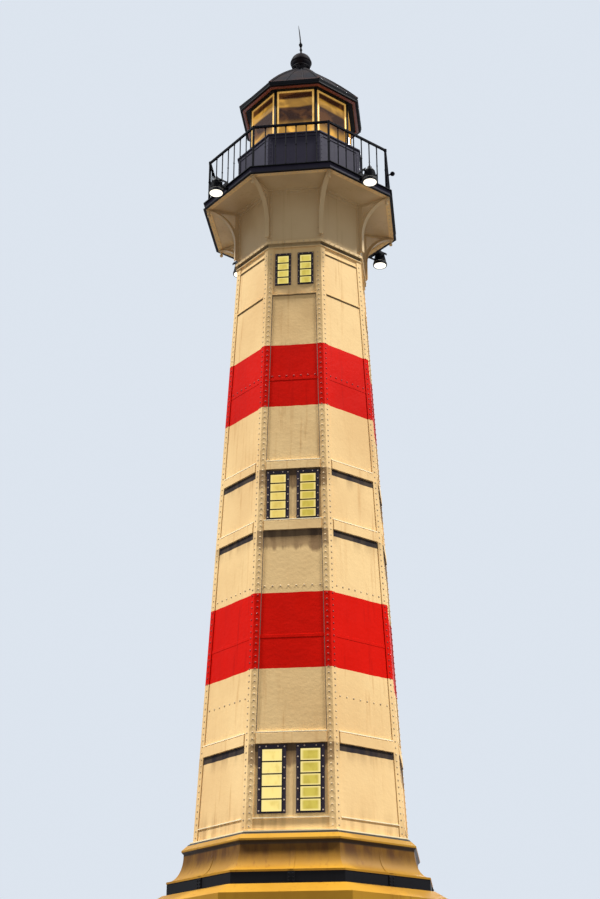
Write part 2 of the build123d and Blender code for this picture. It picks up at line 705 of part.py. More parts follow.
sill = ring_segment([
    (MURETTE_OUT - MURETTE_WALL, MURETTE_TOP),
    (SILL_DRIP_OUT, MURETTE_TOP),
    (SILL_DRIP_OUT, MURETTE_TOP + SILL_NOSE),
    (GLAZING_OUT + PANE_MARGIN, GLAZING_FOOT),
    (SILL_INNER, GLAZING_FOOT),
    (SILL_INNER, GLAZING_FOOT - MURETTE_WALL),
])
save(around(sill, EVERY_FACE), "lantern_sill")

# Lantern glazing: corner mullions, a frame and a pane on each face
glazing_corner = GLAZING_OUT / cos(HALF_STEP)
with BuildPart() as mullion:
    with BuildSketch(Plane.XY.offset(GLAZING_FOOT)):
        with PolarLocations(glazing_corner - MULLION_WIDTH / 2, 1, start_angle=SIDE_STEP / 2):
            Rectangle(MULLION_WIDTH, MULLION_WIDTH)
    extrude(amount=GLAZING_HEIGHT)
save(around(mullion.part, EVERY_FACE), "lantern_mullions")

mullion_in = (glazing_corner - MULLION_WIDTH) * sin(HALF_STEP) - MULLION_WIDTH / 2 * cos(HALF_STEP)
frame_out_width = 2 * (mullion_in - PANE_MARGIN)
frame_out_height = GLAZING_HEIGHT
frame_middle = GLAZING_FOOT + GLAZING_HEIGHT / 2
with BuildPart() as pane_frame:
    with BuildSketch(Plane.YZ.offset(GLAZING_OUT - PANE_FRAME_DEPTH)):
        with Locations((0, frame_middle)):
            Rectangle(frame_out_width, frame_out_height)
            Rectangle(
                frame_out_width - 2 * PANE_FRAME_WIDTH, frame_out_height - 2 * PANE_FRAME_WIDTH,
                mode=Mode.SUBTRACT,
            )
    extrude(amount=PANE_FRAME_DEPTH)
save(around(pane_frame.part, EVERY_FACE), "lantern_pane_frames")

with BuildPart() as pane:
    with BuildSketch(Plane.YZ.offset(GLAZING_OUT - PANE_FRAME_DEPTH / 2)):
        with Locations((0, frame_middle)):
            Rectangle(frame_out_width - 2 * PANE_FRAME_WIDTH, frame_out_height - 2 * PANE_FRAME_WIDTH)
    extrude(amount=GLASS)
save(around(pane.part, EVERY_FACE), "lantern_glass")

# Eaves, and the roof of bowed sheets
eaves = ring_segment([
    (EAVES_INNER, GLAZING_TOP),
    (EAVES_OUT, GLAZING_TOP),
    (EAVES_OUT, ROOF_FOOT),
    (EAVES_INNER, ROOF_FOOT),
])
save(around(eaves, EVERY_FACE), "lantern_eaves")


def roof_point(share, inset):
    """Distance from the axis and height on the bowed roof, at a share of the way up."""
    bow = 4 * share * (1 - share) * ROOF_BULGE
    length = hypot(EAVES_OUT - ROOF_TOP_OUT, ROOF_RISE)
    out = EAVES_OUT + (ROOF_TOP_OUT - EAVES_OUT) * share + bow * ROOF_RISE / length
    height = ROOF_RISE * share + bow * (EAVES_OUT - ROOF_TOP_OUT) / length
    return out - inset, ROOF_FOOT + height


with BuildPart() as roof:
    for inset, mode in ((0, Mode.ADD), (ROOF_SHEET * 2, Mode.SUBTRACT)):
        for course in range(ROOF_COURSES):
            for step in (course, course + 1):
                outside, z = roof_point(step / ROOF_COURSES, inset)
                with BuildSketch(Plane.XY.offset(z)):
                    RegularPolygon(outside, SIDES, major_radius=False, rotation=SIDE_STEP / 2)
            loft(ruled=True, mode=mode)
save(roof.part, "lantern_roof")

# Ball ventilator on its neck
with BuildPart() as ball_ventilator:
    with Locations((0, 0, ROOF_TOP)):
        Cylinder(NECK_RADIUS, NECK_HEIGHT + BALL_RADIUS / 2, align=(Align.CENTER, Align.CENTER, Align.MIN))
    with Locations((0, 0, BALL_CENTRE)):
        Sphere(BALL_RADIUS)
save(ball_ventilator.part, "ball_ventilator")

# Finial
bulb_centre = BALL_TOP + FINIAL_BULB_RISE
with BuildPart() as finial:
    with BuildSketch(Plane.XZ):
        with BuildLine():
            Polyline(
                (0, BALL_TOP + FINIAL_HEIGHT),
                (0, BALL_TOP),
                (FINIAL_COLLAR, BALL_TOP),
                (FINIAL_STEM, BALL_TOP + FINIAL_COLLAR),
                (FINIAL_STEM, bulb_centre),
                (FINIAL_TIP, BALL_TOP + FINIAL_HEIGHT),
                close=True,
            )
        make_face()
    revolve(axis=Axis.Z)
    with Locations((0, 0, bulb_centre)):
        Sphere(FINIAL_BULB)
save(finial.part, "finial")

# Floodlights, hung from the gallery's edge with the lens down
lens_under = DECK_UNDER - LAMP_LENS_DROP
body_top = lens_under + LAMP_RIM_HEIGHT + LAMP_BODY_HEIGHT
arm_middle = DECK_UNDER + CHANNEL_HEIGHT / 3
lamp_axis = Axis((LAMP_DISTANCE, 0, 0), (0, 0, 1))
with BuildPart() as floodlight:
    with BuildSketch(Plane.XZ):
        with BuildLine():
            Polyline(
                (LAMP_DISTANCE, lens_under + LAMP_LENS_THICKNESS),
                (LAMP_DISTANCE + LAMP_LENS_RADIUS, lens_under + LAMP_LENS_THICKNESS),
                (LAMP_DISTANCE + LAMP_LENS_RADIUS, lens_under),
                (LAMP_DISTANCE + LAMP_RIM_RADIUS, lens_under),
                (LAMP_DISTANCE + LAMP_RIM_RADIUS, lens_under + LAMP_RIM_HEIGHT),
                (LAMP_DISTANCE + LAMP_BODY_RADIUS, lens_under + LAMP_RIM_HEIGHT),
                (LAMP_DISTANCE + LAMP_CAP_RADIUS, body_top),
                (LAMP_DISTANCE + LAMP_CAP_RADIUS / 2, body_top + LAMP_CAP_HEIGHT),
                (LAMP_DISTANCE, body_top + LAMP_CAP_HEIGHT),
                close=True,
            )
        make_face()
    revolve(axis=lamp_axis)
    arm_in = DECK_OUT + CHANNEL_THICKNESS
    with Locations((arm_in, 0, arm_middle)):
        Box(LAMP_DISTANCE - arm_in, LAMP_ARM_WIDTH, LAMP_ARM_THICKNESS,
            align=(Align.MIN, Align.CENTER, Align.CENTER))
save(around(floodlight.part, DIAGONALS), "floodlights")

with BuildPart() as lens:
    with BuildSketch(Plane.XY.offset(lens_under)):
        with Locations((LAMP_DISTANCE, 0)):
            Circle(LAMP_LENS_RADIUS)
    extrude(amount=LAMP_LENS_THICKNESS)
save(around(lens.part, DIAGONALS), "floodlight_lenses")
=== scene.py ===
"""Octagonal iron harbour lighthouse: paint, rivets, trim, glazing and lamps on the fixed frame.

Metres, +Z up, origin on the ground at the tower's axis. The front face looks along -Y. "Out" is a
distance from the axis, square to a face, and "across" is a distance along a face from its middle.
"""
import bpy
import numpy as np
from mathutils import Matrix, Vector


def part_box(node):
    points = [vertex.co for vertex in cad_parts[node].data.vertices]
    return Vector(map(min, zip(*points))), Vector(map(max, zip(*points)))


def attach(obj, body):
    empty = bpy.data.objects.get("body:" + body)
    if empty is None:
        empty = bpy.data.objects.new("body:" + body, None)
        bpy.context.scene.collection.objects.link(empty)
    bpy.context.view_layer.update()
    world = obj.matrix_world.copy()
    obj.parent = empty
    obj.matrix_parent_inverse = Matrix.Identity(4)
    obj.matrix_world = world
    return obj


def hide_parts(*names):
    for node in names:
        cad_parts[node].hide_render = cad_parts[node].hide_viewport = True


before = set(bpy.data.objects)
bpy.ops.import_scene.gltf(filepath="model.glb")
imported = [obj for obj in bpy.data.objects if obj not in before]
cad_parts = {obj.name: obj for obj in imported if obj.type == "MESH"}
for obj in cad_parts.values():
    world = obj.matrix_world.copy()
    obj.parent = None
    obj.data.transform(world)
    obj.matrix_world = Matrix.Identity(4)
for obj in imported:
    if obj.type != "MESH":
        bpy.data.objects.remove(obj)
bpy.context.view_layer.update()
scene = bpy.context.scene


def foot(node):
    """Lowest level of a node of the frame."""
    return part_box(node)[0].z


def head(node):
    """Highest level of a node of the frame."""
    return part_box(node)[1].z


# The octagon: its faces look along FACES, and half a face's width is SPREAD times its distance out
HALF_STEP = np.pi / 8
FACES = np.arange(8) * np.pi / 4
MAIN_FACES = FACES[::2]
DIAGONALS = FACES[1::2]
CORNERS = FACES + HALF_STEP
FRONT = -np.pi / 2
WINDOW_FACES = np.array([FRONT, -FRONT])
SPREAD = np.tan(HALF_STEP)
SIDES = np.array([-1, 1])

# Pedestal, door and base mouldings, which the frame's solids have too
PEDESTAL_FOOT = foot("pedestal_front_wall")
PEDESTAL_TOP = head("pedestal_front_wall")
PEDESTAL_OUT = 2.06
DOOR_OUT = 2.085
FASCIA_FOOT = foot("base_fascia")
FASCIA_TOP = head("base_fascia")
FASCIA_OUT = 1.861
LIP_OUT = 1.869
CAVETTO_TOP = head("base_cavetto")
CAVETTO_TOP_OUT = 1.649
BASE_JOINT = 0.045

# Shaft: leaning plates, flat angles on the corners
SHAFT_FOOT = foot("shaft_front_wall")
SHAFT_HEIGHT = head("shaft_front_wall") - SHAFT_FOOT
SHAFT_FOOT_OUT = 1.513
SHAFT_HEAD_OUT = 1.059
SLOPE = (SHAFT_FOOT_OUT - SHAFT_HEAD_OUT) / SHAFT_HEIGHT
LEAN = np.arctan(SLOPE)
ANGLE_WIDTH = 0.09
ANGLE_THICKNESS = 0.014

# Watch room, gallery and lantern
COURSE_FOOT = foot("string_course")
COURSE_OUT = 1.107
WATCH_FOOT = foot("watch_room_main_walls")
WATCH_OUT = 1.062
DECK_UNDER = foot("gallery_deck")
DECK_TOP = head("gallery_deck")
DECK_OUT = 1.618
CHANNEL_FOOT = foot("gallery_edge")
CHANNEL_TOP = head("gallery_edge")
CHANNEL_OUT = 1.63
POST_OUT = 1.7
RAIL_TOP = head("gallery_railings")
RAIL_OUT = POST_OUT * np.cos(HALF_STEP)
STUB_LEVEL = DECK_TOP + 0.433
STUB_REACH = 0.125
STUB_BALL = 0.041
LAMP_OUT = 1.87
LENS_UNDER = foot("floodlight_lenses")
YOKE_LEVEL = LENS_UNDER + 0.2
YOKE_ACROSS = 0.134
LANTERN_WALL_OUT = 1.084
LANTERN_WALL_TOP = head("lantern_base_wall")
GLAZING_FOOT = foot("lantern_mullions")
GLAZING_TOP = head("lantern_mullions")
GLAZING_OUT = 0.895
EAVES_OUT = 1.081
ROOF_FOOT = head("lantern_eaves")
ROOF_TOP = head("lantern_roof")
ROOF_TOP_OUT = 0.174
ROOF_BULGE = 0.03
BALL_RADIUS = 0.195
BALL_TOP = head("ball_ventilator")
BALL_CENTRE = BALL_TOP - BALL_RADIUS
NECK_RADIUS = 0.15
FINIAL_TIP = head("finial")

# Windows of a storey: sill above the shaft's foot, height and width of the glass, distance from the
# middle, panes one over another, and width of the frame's flange
WINDOWS = [(0.26, 0.877, 0.281, 0.272, 5, 0.06), (4.718, 0.74, 0.238, 0.232, 5, 0.056),
           (9.000, 0.572, 0.184, 0.189, 4, 0.042)]
FLANGE_PROUD = 0.012
GLASS_DEPTH = 0.01

# Levels above the shaft's foot: red bands, rows of rivets with their faces, lapped seams, belts with
# their height, and ledges
RED_BANDS = [(2.322, 3.495), (6.666, 7.806)]
PLATE_ROWS = [(1.904, DIAGONALS), (3.604, FACES), (7.225, FACES)]
LAP_SEAMS = [2.815, 7.17]
BELTS = [(1.216, 0.171), (4.514, 0.172), (5.546, 0.152)]
BELT_LIP = 0.014
LOW_LEDGE = 0.175
PANEL_LEDGE = SHAFT_HEIGHT - 0.934 - BELT_LIP / 2
TOP_LEDGE = SHAFT_HEIGHT - 0.124 - BELT_LIP / 2
# Levels of the lips of the belts and the low ledge, which get a painted highlight
LIGHT_EDGES = [LOW_LEDGE + BELT_LIP / 2] + [under + tall for under, tall in BELTS]
# Stretches of the dark strips of painted shade beside the corner angles
EDGE_SHADE_LINES = [(1.4, 4.5), (5.71, SHAFT_HEIGHT - 0.95)]

# Rivet heads: radius and height
CORNER_RIVET = (0.0145, 0.0085)
PLATE_RIVET = (0.0155, 0.009)
GALLERY_RIVET = (0.013, 0.009)
BRACKET_RIVET = (0.011, 0.008)
LANTERN_RIVET = (0.009, 0.007)
PEDESTAL_RIVET = (0.0165, 0.011)
RIVET_PITCH = 0.0945

# Sections of bars: height, depth and chamfer
GLAZING_BAR = (0.017, 0.013, 0.003)
WINDOW_BEAD = (0.007, 0.008, 0.002)
DOOR_BEAD = (0.022, 0.01, 0.004)

# How a shape lies on a face: which of the face's directions (across, up, outwards) its x, y and z follow,
# and 1 or -1 for with or against them
FACING = ([0, 1, 2], [1, 1, 1])
UPRIGHT = ([1, 0, 2], [1, -1, 1])
DOWNWARD = ([0, 2, 1], [1, 1, -1])
SKYWARD = ([0, 2, 1], [1, -1, 1])
AS_DRAWN = None

# Black of the painted shadows under belts and ledges, and brown-black of the painted shade under the base's
# band
PAINTED_SHADOW_BLACK = (0.022, 0.018, 0.022)
PAINTED_SHADE_BROWN = (0.03, 0.018, 0.01)


class Signal:
    """One socket of a finish. Arithmetic on numbers adds Math nodes."""

    def __init__(self, nodes, socket):
        self.nodes = nodes
        self.socket = socket

    def math(self, operation, *numbers):
        return self.nodes.node("Math", dict(enumerate(numbers)), operation=operation)

    def __add__(self, other):
        return self.math("ADD", self, other)

    __radd__ = __add__

    def __mul__(self, other):
        return self.math("MULTIPLY", self, other)

    __rmul__ = __mul__

    def __sub__(self, other):
        return self.math("SUBTRACT", self, other)

    def __rsub__(self, other):
        return self.math("SUBTRACT", other, self)

    def __gt__(self, other):
        return self.math("GREATER_THAN", self, other)

    def __lt__(self, other):
        return self.math("LESS_THAN", self, other)

    def __abs__(self):
        return self.math("ABSOLUTE", self)

    def whole(self):
        """The whole number at or under this one."""
        return self.math("FLOOR", self)

    def larger(self, other):
        """The larger of two numbers."""
        return self.math("MAXIMUM", self, other)


class Nodes:
    """The nodes of a material or a world, built from nothing."""

    def __init__(self, owner):
        owner.use_nodes = True
        self.tree = owner.node_tree
        self.tree.nodes.clear()

    def node(self, kind, sockets=None, output=0, **settings):
        """Add a node, with values or links of its sockets and with settings. Gives one output, if any."""
        made = self.tree.nodes.new("ShaderNode" + kind)
        for key, value in settings.items():
            setattr(made, key, value)
        for key, value in (sockets or {}).items():
            socket = made.inputs[key]
            if isinstance(value, Signal):
                self.tree.links.new(value.socket, socket)
            else:
                socket.default_value = (*value, 1.0) if socket.type == "RGBA" else value
        return Signal(self, made.outputs[output]) if made.outputs else None

    def seen_rays(self):
        """1 for a ray from the camera, off gloss or through glass, and 0 for one that only lights things."""
        camera, gloss, through = [self.node("LightPath", output="Is %s Ray" % kind)
                                  for kind in ("Camera", "Glossy", "Transmission")]
        return camera.larger(gloss).larger(through)


class Finish(Nodes):
    """One procedural material on the object's own coordinates."""

    def __init__(self, name):
        self.material = bpy.data.materials.new(name)
        super().__init__(self.material)
        self.place = self.node("TexCoord", output="Object")

    def axis(self, name):
        """One coordinate of the place on the object: X, Y or Z."""
        return self.node("SeparateXYZ", {0: self.place}, name)

    def scaled(self, stretch):
        """The place on the object, scaled along each axis."""
        return self.node("VectorMath", {0: self.place, 1: stretch}, operation="MULTIPLY")

    def noise(self, stretch, detail=3.0, roughness=0.5, distortion=0.0):
        """Soft noise from 0 to 1, with so many cells to the metre along each axis."""
        sockets = {"Vector": self.scaled(stretch), "Scale": 1.0, "Detail": detail,
                   "Roughness": roughness, "Distortion": distortion}
        return self.node("TexNoise", sockets, "Fac")

    def step(self, value, low, high):
        """Smooth step of a number from 0 at low to 1 at high."""
        return self.node("MapRange", {0: value, 1: low, 2: high}, interpolation_type="SMOOTHSTEP")

    def blots(self, stretch, low, high, detail=3.0, roughness=0.5):
        """Blots of noise: 0 where it is under low, 1 where it is over high."""
        return self.step(self.noise(stretch, detail, roughness), low, high)

    def between(self, value, low, high, soft):
        """1 where a number is between two limits, with soft edges."""
        return self.step(value, low - soft, low + soft) * (1 - self.step(value, high - soft, high + soft))

    def mix(self, share, first, second, blend="MIX"):
        """Mix of two colours by a share."""
        return self.node("Mix", {0: share, 6: first, 7: second}, 2, data_type="RGBA", blend_type=blend)

    def darken_by(self, share, tone, grime):
        """A colour multiplied by a darker one, by a share: for grime and for painted shade alike."""
        return self.mix(share, tone, grime, "MULTIPLY")

    def coat(self, tone, rough, height=None, shine=0.5, **more):
        """The finish's own shader, with its normal from a height in metres."""
        sockets = {"Base Color": tone, "Roughness": rough, "Specular IOR Level": shine}
        sockets.update({key.replace("_", " ").title(): value for key, value in more.items()})
        if height is not None:
            relief = {"Height": height, "Distance": 1.0, "Strength": 1.0}
            sockets["Normal"] = self.node("Bump", relief)
        shader = self.node("BsdfPrincipled", sockets)
        self.node("OutputMaterial", {"Surface": shader})
        return self


def weathered(finish, base, grime, spread=0.35, streaks=0.5, rust=0.12):
    """A paint's colour with uneven fading, rain streaks that run down, and specks of rust."""
    base = finish.darken_by(spread * finish.blots((0.8, 0.8, 0.5), 0.35, 0.75, 4), base, grime)
    wet = finish.blots((18, 18, 0.7), 0.5, 0.72, 4, 0.6) * finish.blots((3, 3, 0.3), 0.4, 0.65, 2)
    base = finish.darken_by(streaks * wet, base, grime)
    rusty = finish.blots((26, 26, 20), 0.66, 0.72, 5, 0.7) * finish.blots((1.7, 1.7, 1.3), 0.5, 0.62)
    return finish.mix(rust * rusty, base, (0.22, 0.085, 0.03))


def dented(finish, depth):
    """Height of beaten plate: broad dents, hammer marks and brushed paint."""
    broad = finish.noise((2.3, 2.3, 2.6), 2)
    marks = finish.noise((16, 16, 18), 4, 0.62)
    brush = finish.noise((220, 220, 60), 2)
    return broad * (2 * depth) + marks * (1.1 * depth) + brush * 0.00012


def on_diagonals(finish):
    """1 on the diagonal faces, where (|x| + |y|) / sqrt 2 is more than the larger of |x| and |y|."""
    from_x = abs(finish.axis("X"))
    from_y = abs(finish.axis("Y"))
    return (from_x + from_y) * (0.5 ** 0.5) > from_x.larger(from_y)


def red_share(finish, rise):
    """1 inside the red bands."""
    return sum(finish.between(rise, low, high, 0.003) for low, high in RED_BANDS)


def shaft_paint(name, lip=0.0, bars=True):
    """Cream paint with two red bands, set by height. With lip, the belts' lips get a painted highlight.

    Under the belts lie dirt runs darkened further as painted shade and, on the main faces, a painted shadow;
    black bars of painted shadow lie under the belts and ledges, most of all on the diagonal faces.
    """
    finish = Finish(name)
    level = finish.axis("Z") - SHAFT_FOOT
    rise = level + (finish.noise((5, 5, 0)) - 0.5) * 0.02
    cream = weathered(finish, (0.88, 0.62, 0.3), (0.62, 0.46, 0.33))
    red = weathered(finish, (0.68, 0.006, 0.001), (0.6, 0.3, 0.25), 0.4)
    if lip:
        # Painted highlight: a bright line at each lip, where light catches it
        lip_highlight = sum(finish.between(level, edge - BELT_LIP, edge + BELT_LIP, 0.001) for edge in LIGHT_EDGES)
        cream = finish.mix(lip * lip_highlight, cream, (1.0, 0.9, 0.64))
    banded = red_share(finish, rise)
    tone = finish.mix(banded, cream, red)
    soot_and_shade_noise = finish.blots((7, 7, 0.8), 0.35, 0.7)
    diagonal = on_diagonals(finish)
    shadow_edge = rise + 0.1 * (soot_and_shade_noise - 0.5)
    # Under each belt: a dirt run darkened further as painted shade, and on the main faces a painted shadow
    # of the belt
    for under, _ in BELTS:
        below = rise < under
        run = finish.step(rise, under - 0.35, under) * below * soot_and_shade_noise * 0.5
        tone = finish.darken_by(run, tone, (0.22, 0.17, 0.15))
        shade = finish.step(shadow_edge, under - 0.36, under - 0.28) * below * (1 - diagonal)
        tone = finish.darken_by(shade * (0.6 + 0.2 * soot_and_shade_noise), tone, (0.25, 0.2, 0.22))
    if bars:
        # Black bars of painted shadow under the belts, strongest on the diagonal faces
        for under, _ in BELTS:
            belt_shadow_bar = finish.between(rise, under - 0.112, under, 0.004)
            tone = finish.mix(belt_shadow_bar * (0.64 + 0.31 * diagonal + 0.05 * soot_and_shade_noise), tone, PAINTED_SHADOW_BLACK)
        # Painted shadow lines under the panel ledge, and on the diagonals under the top ledge
        ledge_shadow = finish.between(rise, PANEL_LEDGE - 0.022, PANEL_LEDGE, 0.003)
        tone = finish.mix(0.7 * ledge_shadow, tone, PAINTED_SHADOW_BLACK)
        ledge_shadow = finish.between(rise, TOP_LEDGE - 0.018, TOP_LEDGE, 0.003)
        tone = finish.mix(0.7 * ledge_shadow * diagonal, tone, PAINTED_SHADOW_BLACK)
    foot_dirt = 1 - finish.step(rise, 0.0, 0.5)
    tone = finish.darken_by(foot_dirt * soot_and_shade_noise * 0.4, tone, (0.3, 0.22, 0.15))
    rough = 0.42 + 0.22 * finish.noise((4, 4, 3)) - 0.08 * banded
    return finish.coat(tone, rough, dented(finish, 0.003), 0.05)


def rivet_paint():
    """The same bands on the rivet heads, in a darker tone, with darker blots that thin out higher up the
    shaft.
    """
    finish = Finish("rivet_paint")
    rise = finish.axis("Z") - SHAFT_FOOT
    banded = red_share(finish, rise)
    worn = finish.noise((9, 9, 7))
    low = 1 - finish.step(rise, 4.0, 8.5)
    darkening = finish.step(worn, 0.44, 0.6) * (0.12 + 0.6 * low) * (1 - 0.8 * banded)
    tone = finish.mix(banded, (0.66, 0.5, 0.29), (0.3, 0.006, 0.006))
    tone = finish.mix(darkening, tone, (0.3, 0.21, 0.13))
    grain = finish.noise((160, 160, 160), 2) * 0.0003
    return finish.coat(tone, 0.35 + 0.3 * worn, grain, 0.3)


def plain_paint(name, base, grime, rough=0.4, depth=0.0012, spread=0.35, rust=0.12, shine=0.18, streaks=0.5):
    """One colour of paint on iron, weathered."""
    finish = Finish(name)
    tone = weathered(finish, base, grime, spread, streaks, rust)
    uneven = rough + 0.2 * (finish.noise((5, 5, 4)) - 0.5)
    return finish.coat(tone, uneven, dented(finish, depth), shine)


def course_paint():
    """Cream of the string course, with painted shade in the recess between its foot and its lip."""
    finish = Finish("string_course_paint")
    tone = weathered(finish, (0.8, 0.58, 0.3), (0.55, 0.42, 0.3), 0.5, 0.6)
    # Painted shade in the recess under the lip, stronger on the diagonal faces
    recess = finish.between(finish.axis("Z"), COURSE_FOOT + 0.0145, COURSE_FOOT + 0.0765, 0.002)
    darkening = 0.4 + 0.42 * on_diagonals(finish) + 0.1 * finish.noise((7, 7, 0.8))
    tone = finish.mix(darkening * recess, tone, (0.045, 0.032, 0.022))
    return finish.coat(tone, 0.4 + 0.2 * finish.noise((5, 5, 4)), dented(finish, 0.0012), 0.13)


def ochre_paint():
    """Ochre on the base castings, with painted shade in the top of the hollow, broken by dirt streaks, and a
    painted shadow under the band above it.
    """
    finish = Finish("ochre_paint")
    height = finish.axis("Z")
    above = height > FASCIA_TOP
    tone = weathered(finish, (0.4, 0.2, 0.012), (0.5, 0.33, 0.2), 0.4, 0.5, 0.25)
    soot_and_shade_noise = finish.noise((5, 5, 1.2), 4, 0.6)
    # Painted shade in the top of the hollow, darker towards the band, broken by streaks of dirt
    hollow = finish.step(height, FASCIA_TOP + 0.05, CAVETTO_TOP - 0.09) * above
    hollow_shade_streaks = hollow * (0.75 + 0.25 * finish.step(soot_and_shade_noise, 0.38, 0.66))
    tone = finish.darken_by(0.95 * hollow_shade_streaks, tone, (0.16, 0.1, 0.08))
    # Painted shadow of the band on the top of the hollow
    shadow_under_band = finish.step(height, CAVETTO_TOP - 0.035, CAVETTO_TOP - 0.01) * above
    tone = finish.mix(0.85 * shadow_under_band, tone, PAINTED_SHADE_BROWN)
    return finish.coat(tone, 0.36 + 0.25 * soot_and_shade_noise, dented(finish, 0.001), 0.2)


def top_band_paint():
    """Ochre band with painted shade in its undercut, black groove over it and the cream ledge under the
    shaft.
    """
    finish = Finish("top_band_paint")
    height = finish.axis("Z")
    ochre = weathered(finish, (0.42, 0.215, 0.012), (0.5, 0.33, 0.2), 0.4, 0.5, 0.2)
    cream = weathered(finish, (0.95, 0.8, 0.5), (0.7, 0.55, 0.4), 0.3, 0.3)
    undercut = foot("base_top_band") + 0.03
    groove = head("base_top_band") - 0.05
    ledge = head("base_top_band") - 0.018
    # Painted shade in the undercut under the band
    tone = finish.mix(finish.step(height, undercut - 0.006, undercut + 0.004), PAINTED_SHADE_BROWN, ochre)
    tone = finish.mix(finish.step(height, groove - 0.002, groove + 0.002), tone, (0.012, 0.01, 0.008))
    tone = finish.mix(finish.step(height, ledge - 0.001, ledge + 0.001), tone, cream)
    return finish.coat(tone, 0.36 + 0.2 * finish.noise((6, 6, 4)), dented(finish, 0.0008), 0.3)


def pane_glow(name, window, left, right, rim):
    """Glass of one storey glowing with painted light from inside: two tones for the two windows, and a
    painted brighter rim round each pane's edge.

    The row of a pane is its height above the sill over the pane's height, and the edge is where what is
    left after the whole rows, or the distance across the window, comes near its end.
    """
    sill, tall, wide, off, panes, _ = window
    finish = Finish(name)
    sideways = finish.axis("X")
    rows = (finish.axis("Z") - (SHAFT_FOOT + sill)) * (panes / tall)
    part = rows - rows.whole()
    off_middle = abs(abs(sideways) - off) * (2 / wide)
    middle = finish.between(part, 0.14, 0.86, 0.1) * (1 - finish.step(off_middle, 0.62, 0.98))
    tone = finish.mix(finish.step(sideways, -0.05, 0.05), left, right)
    tone = finish.darken_by(0.6 * finish.blots((9, 9, 6), 0.42, 0.7), tone, (0.72, 0.66, 0.45))
    # Painted light: the rim tone round each pane's edge
    tone = finish.mix(middle, rim, tone)
    ripple = finish.noise((40, 40, 14), 2) * 0.0006
    return finish.coat((0.05, 0.04, 0.01), 0.25, ripple, 0.3, emission_color=tone, emission_strength=1.0)


def lantern_glass():
    """Clear panes with the lantern's warm light painted in as a glow: patches, and bright rings high up and
    low down.
    """
    finish = Finish("lantern_glass")
    height = finish.axis("Z")
    low = 1 - finish.step(height, GLAZING_FOOT + 0.12, GLAZING_FOOT + 0.36)
    cloud = finish.noise((2.2, 2.2, 3.4), 3, 0.5, 0.8)
    patch = finish.step(cloud, 0.46, 0.66)
    wave = finish.noise((1.6, 1.6, 0.6), 2) * 0.1
    high = finish.between(height + wave, GLAZING_TOP - 0.3, GLAZING_TOP - 0.12, 0.025)
    tone = finish.mix(patch, (0.024, 0.007, 0.003), (0.11, 0.04, 0.009))
    tone = finish.mix(high * (0.45 + 0.55 * finish.step(cloud, 0.36, 0.56)), tone, (0.6, 0.31, 0.045))
    tone = finish.mix(low * (0.45 + 0.55 * patch), tone, (0.95, 0.5, 0.08))
    clear = 0.66 + 0.1 * patch + 0.12 * low + 0.1 * high
    ripple = finish.noise((1.3, 1.3, 1), 2) * 0.004
    return finish.coat((0.035, 0.02, 0.012), 0.04, ripple, 0.25, emission_color=tone, emission_strength=1.0,
                       alpha=clear)


def brass(name, glow=0.0):
    """Gold-coloured bars and fittings: brass, dulled where hands and rain reach, and by glow given a painted
    glow of the lantern's light.
    """
    finish = Finish(name)
    worn = finish.noise((11, 11, 7), 4)
    tone = finish.mix(finish.step(worn, 0.4, 0.68), (1.0, 0.66, 0.2), (0.7, 0.4, 0.1))
    grain = finish.noise((180, 180, 40), 2) * 0.0002
    return finish.coat(tone, 0.24 + 0.3 * worn, grain, metallic=0.4, emission_color=(1.0, 0.55, 0.12),
                       emission_strength=glow)


def roof_copper():
    """Dark sheet of the roof, with a painted reddish highlight in blotches near the eaves."""
    finish = Finish("dark_copper_sheet")
    low = 1 - finish.step(finish.axis("Z"), ROOF_FOOT, ROOF_FOOT + 0.12)
    blotch = finish.noise((3, 3, 3.5), 5, 0.6)
    dark = finish.mix(finish.step(blotch, 0.38, 0.7), (0.004, 0.0035, 0.006), (0.016, 0.009, 0.008))
    # Painted highlight: blotches near the eaves lit reddish
    tone = finish.mix(low * finish.step(blotch, 0.3, 0.6), dark, (0.045, 0.015, 0.01))
    ripple = finish.noise((5, 5, 6)) * 0.004
    return finish.coat(tone, 0.5 + 0.3 * blotch, ripple, 0.06)


def lit_lens():
    """White glass of a lit floodlight, warmer in clouds."""
    finish = Finish("lit_lamp_lens")
    tone = finish.mix(0.4 * finish.noise((30, 30, 30), 2), (1.0, 0.96, 0.84), (1.0, 0.88, 0.6))
    ribs = finish.noise((90, 90, 10), 1) * 0.0015
    return finish.coat((0.8, 0.78, 0.7), 0.2, ribs, emission_color=tone, emission_strength=1.4)


def dressed_stone():
    """Grey granite of the foundation: grains, by distance to scattered points, blotches and pits."""
    finish = Finish("dressed_stone")
    grains = finish.node("TexVoronoi", {"Vector": finish.scaled((120, 120, 120)), "Scale": 1.0}, "Distance")
    blotch = finish.noise((3, 3, 3), 4)
    tone = finish.mix(finish.step(grains, 0.25, 0.55), (0.2, 0.19, 0.18), (0.46, 0.44, 0.41))
    tone = finish.darken_by(0.6 * finish.step(blotch, 0.4, 0.7), tone, (0.62, 0.58, 0.5))
    pits = finish.noise((60, 60, 60), 4, 0.7)
    chisel = finish.noise((6, 6, 30), 2)
    return finish.coat(tone, 0.7 + 0.2 * blotch, pits * 0.0016 + chisel * 0.003)


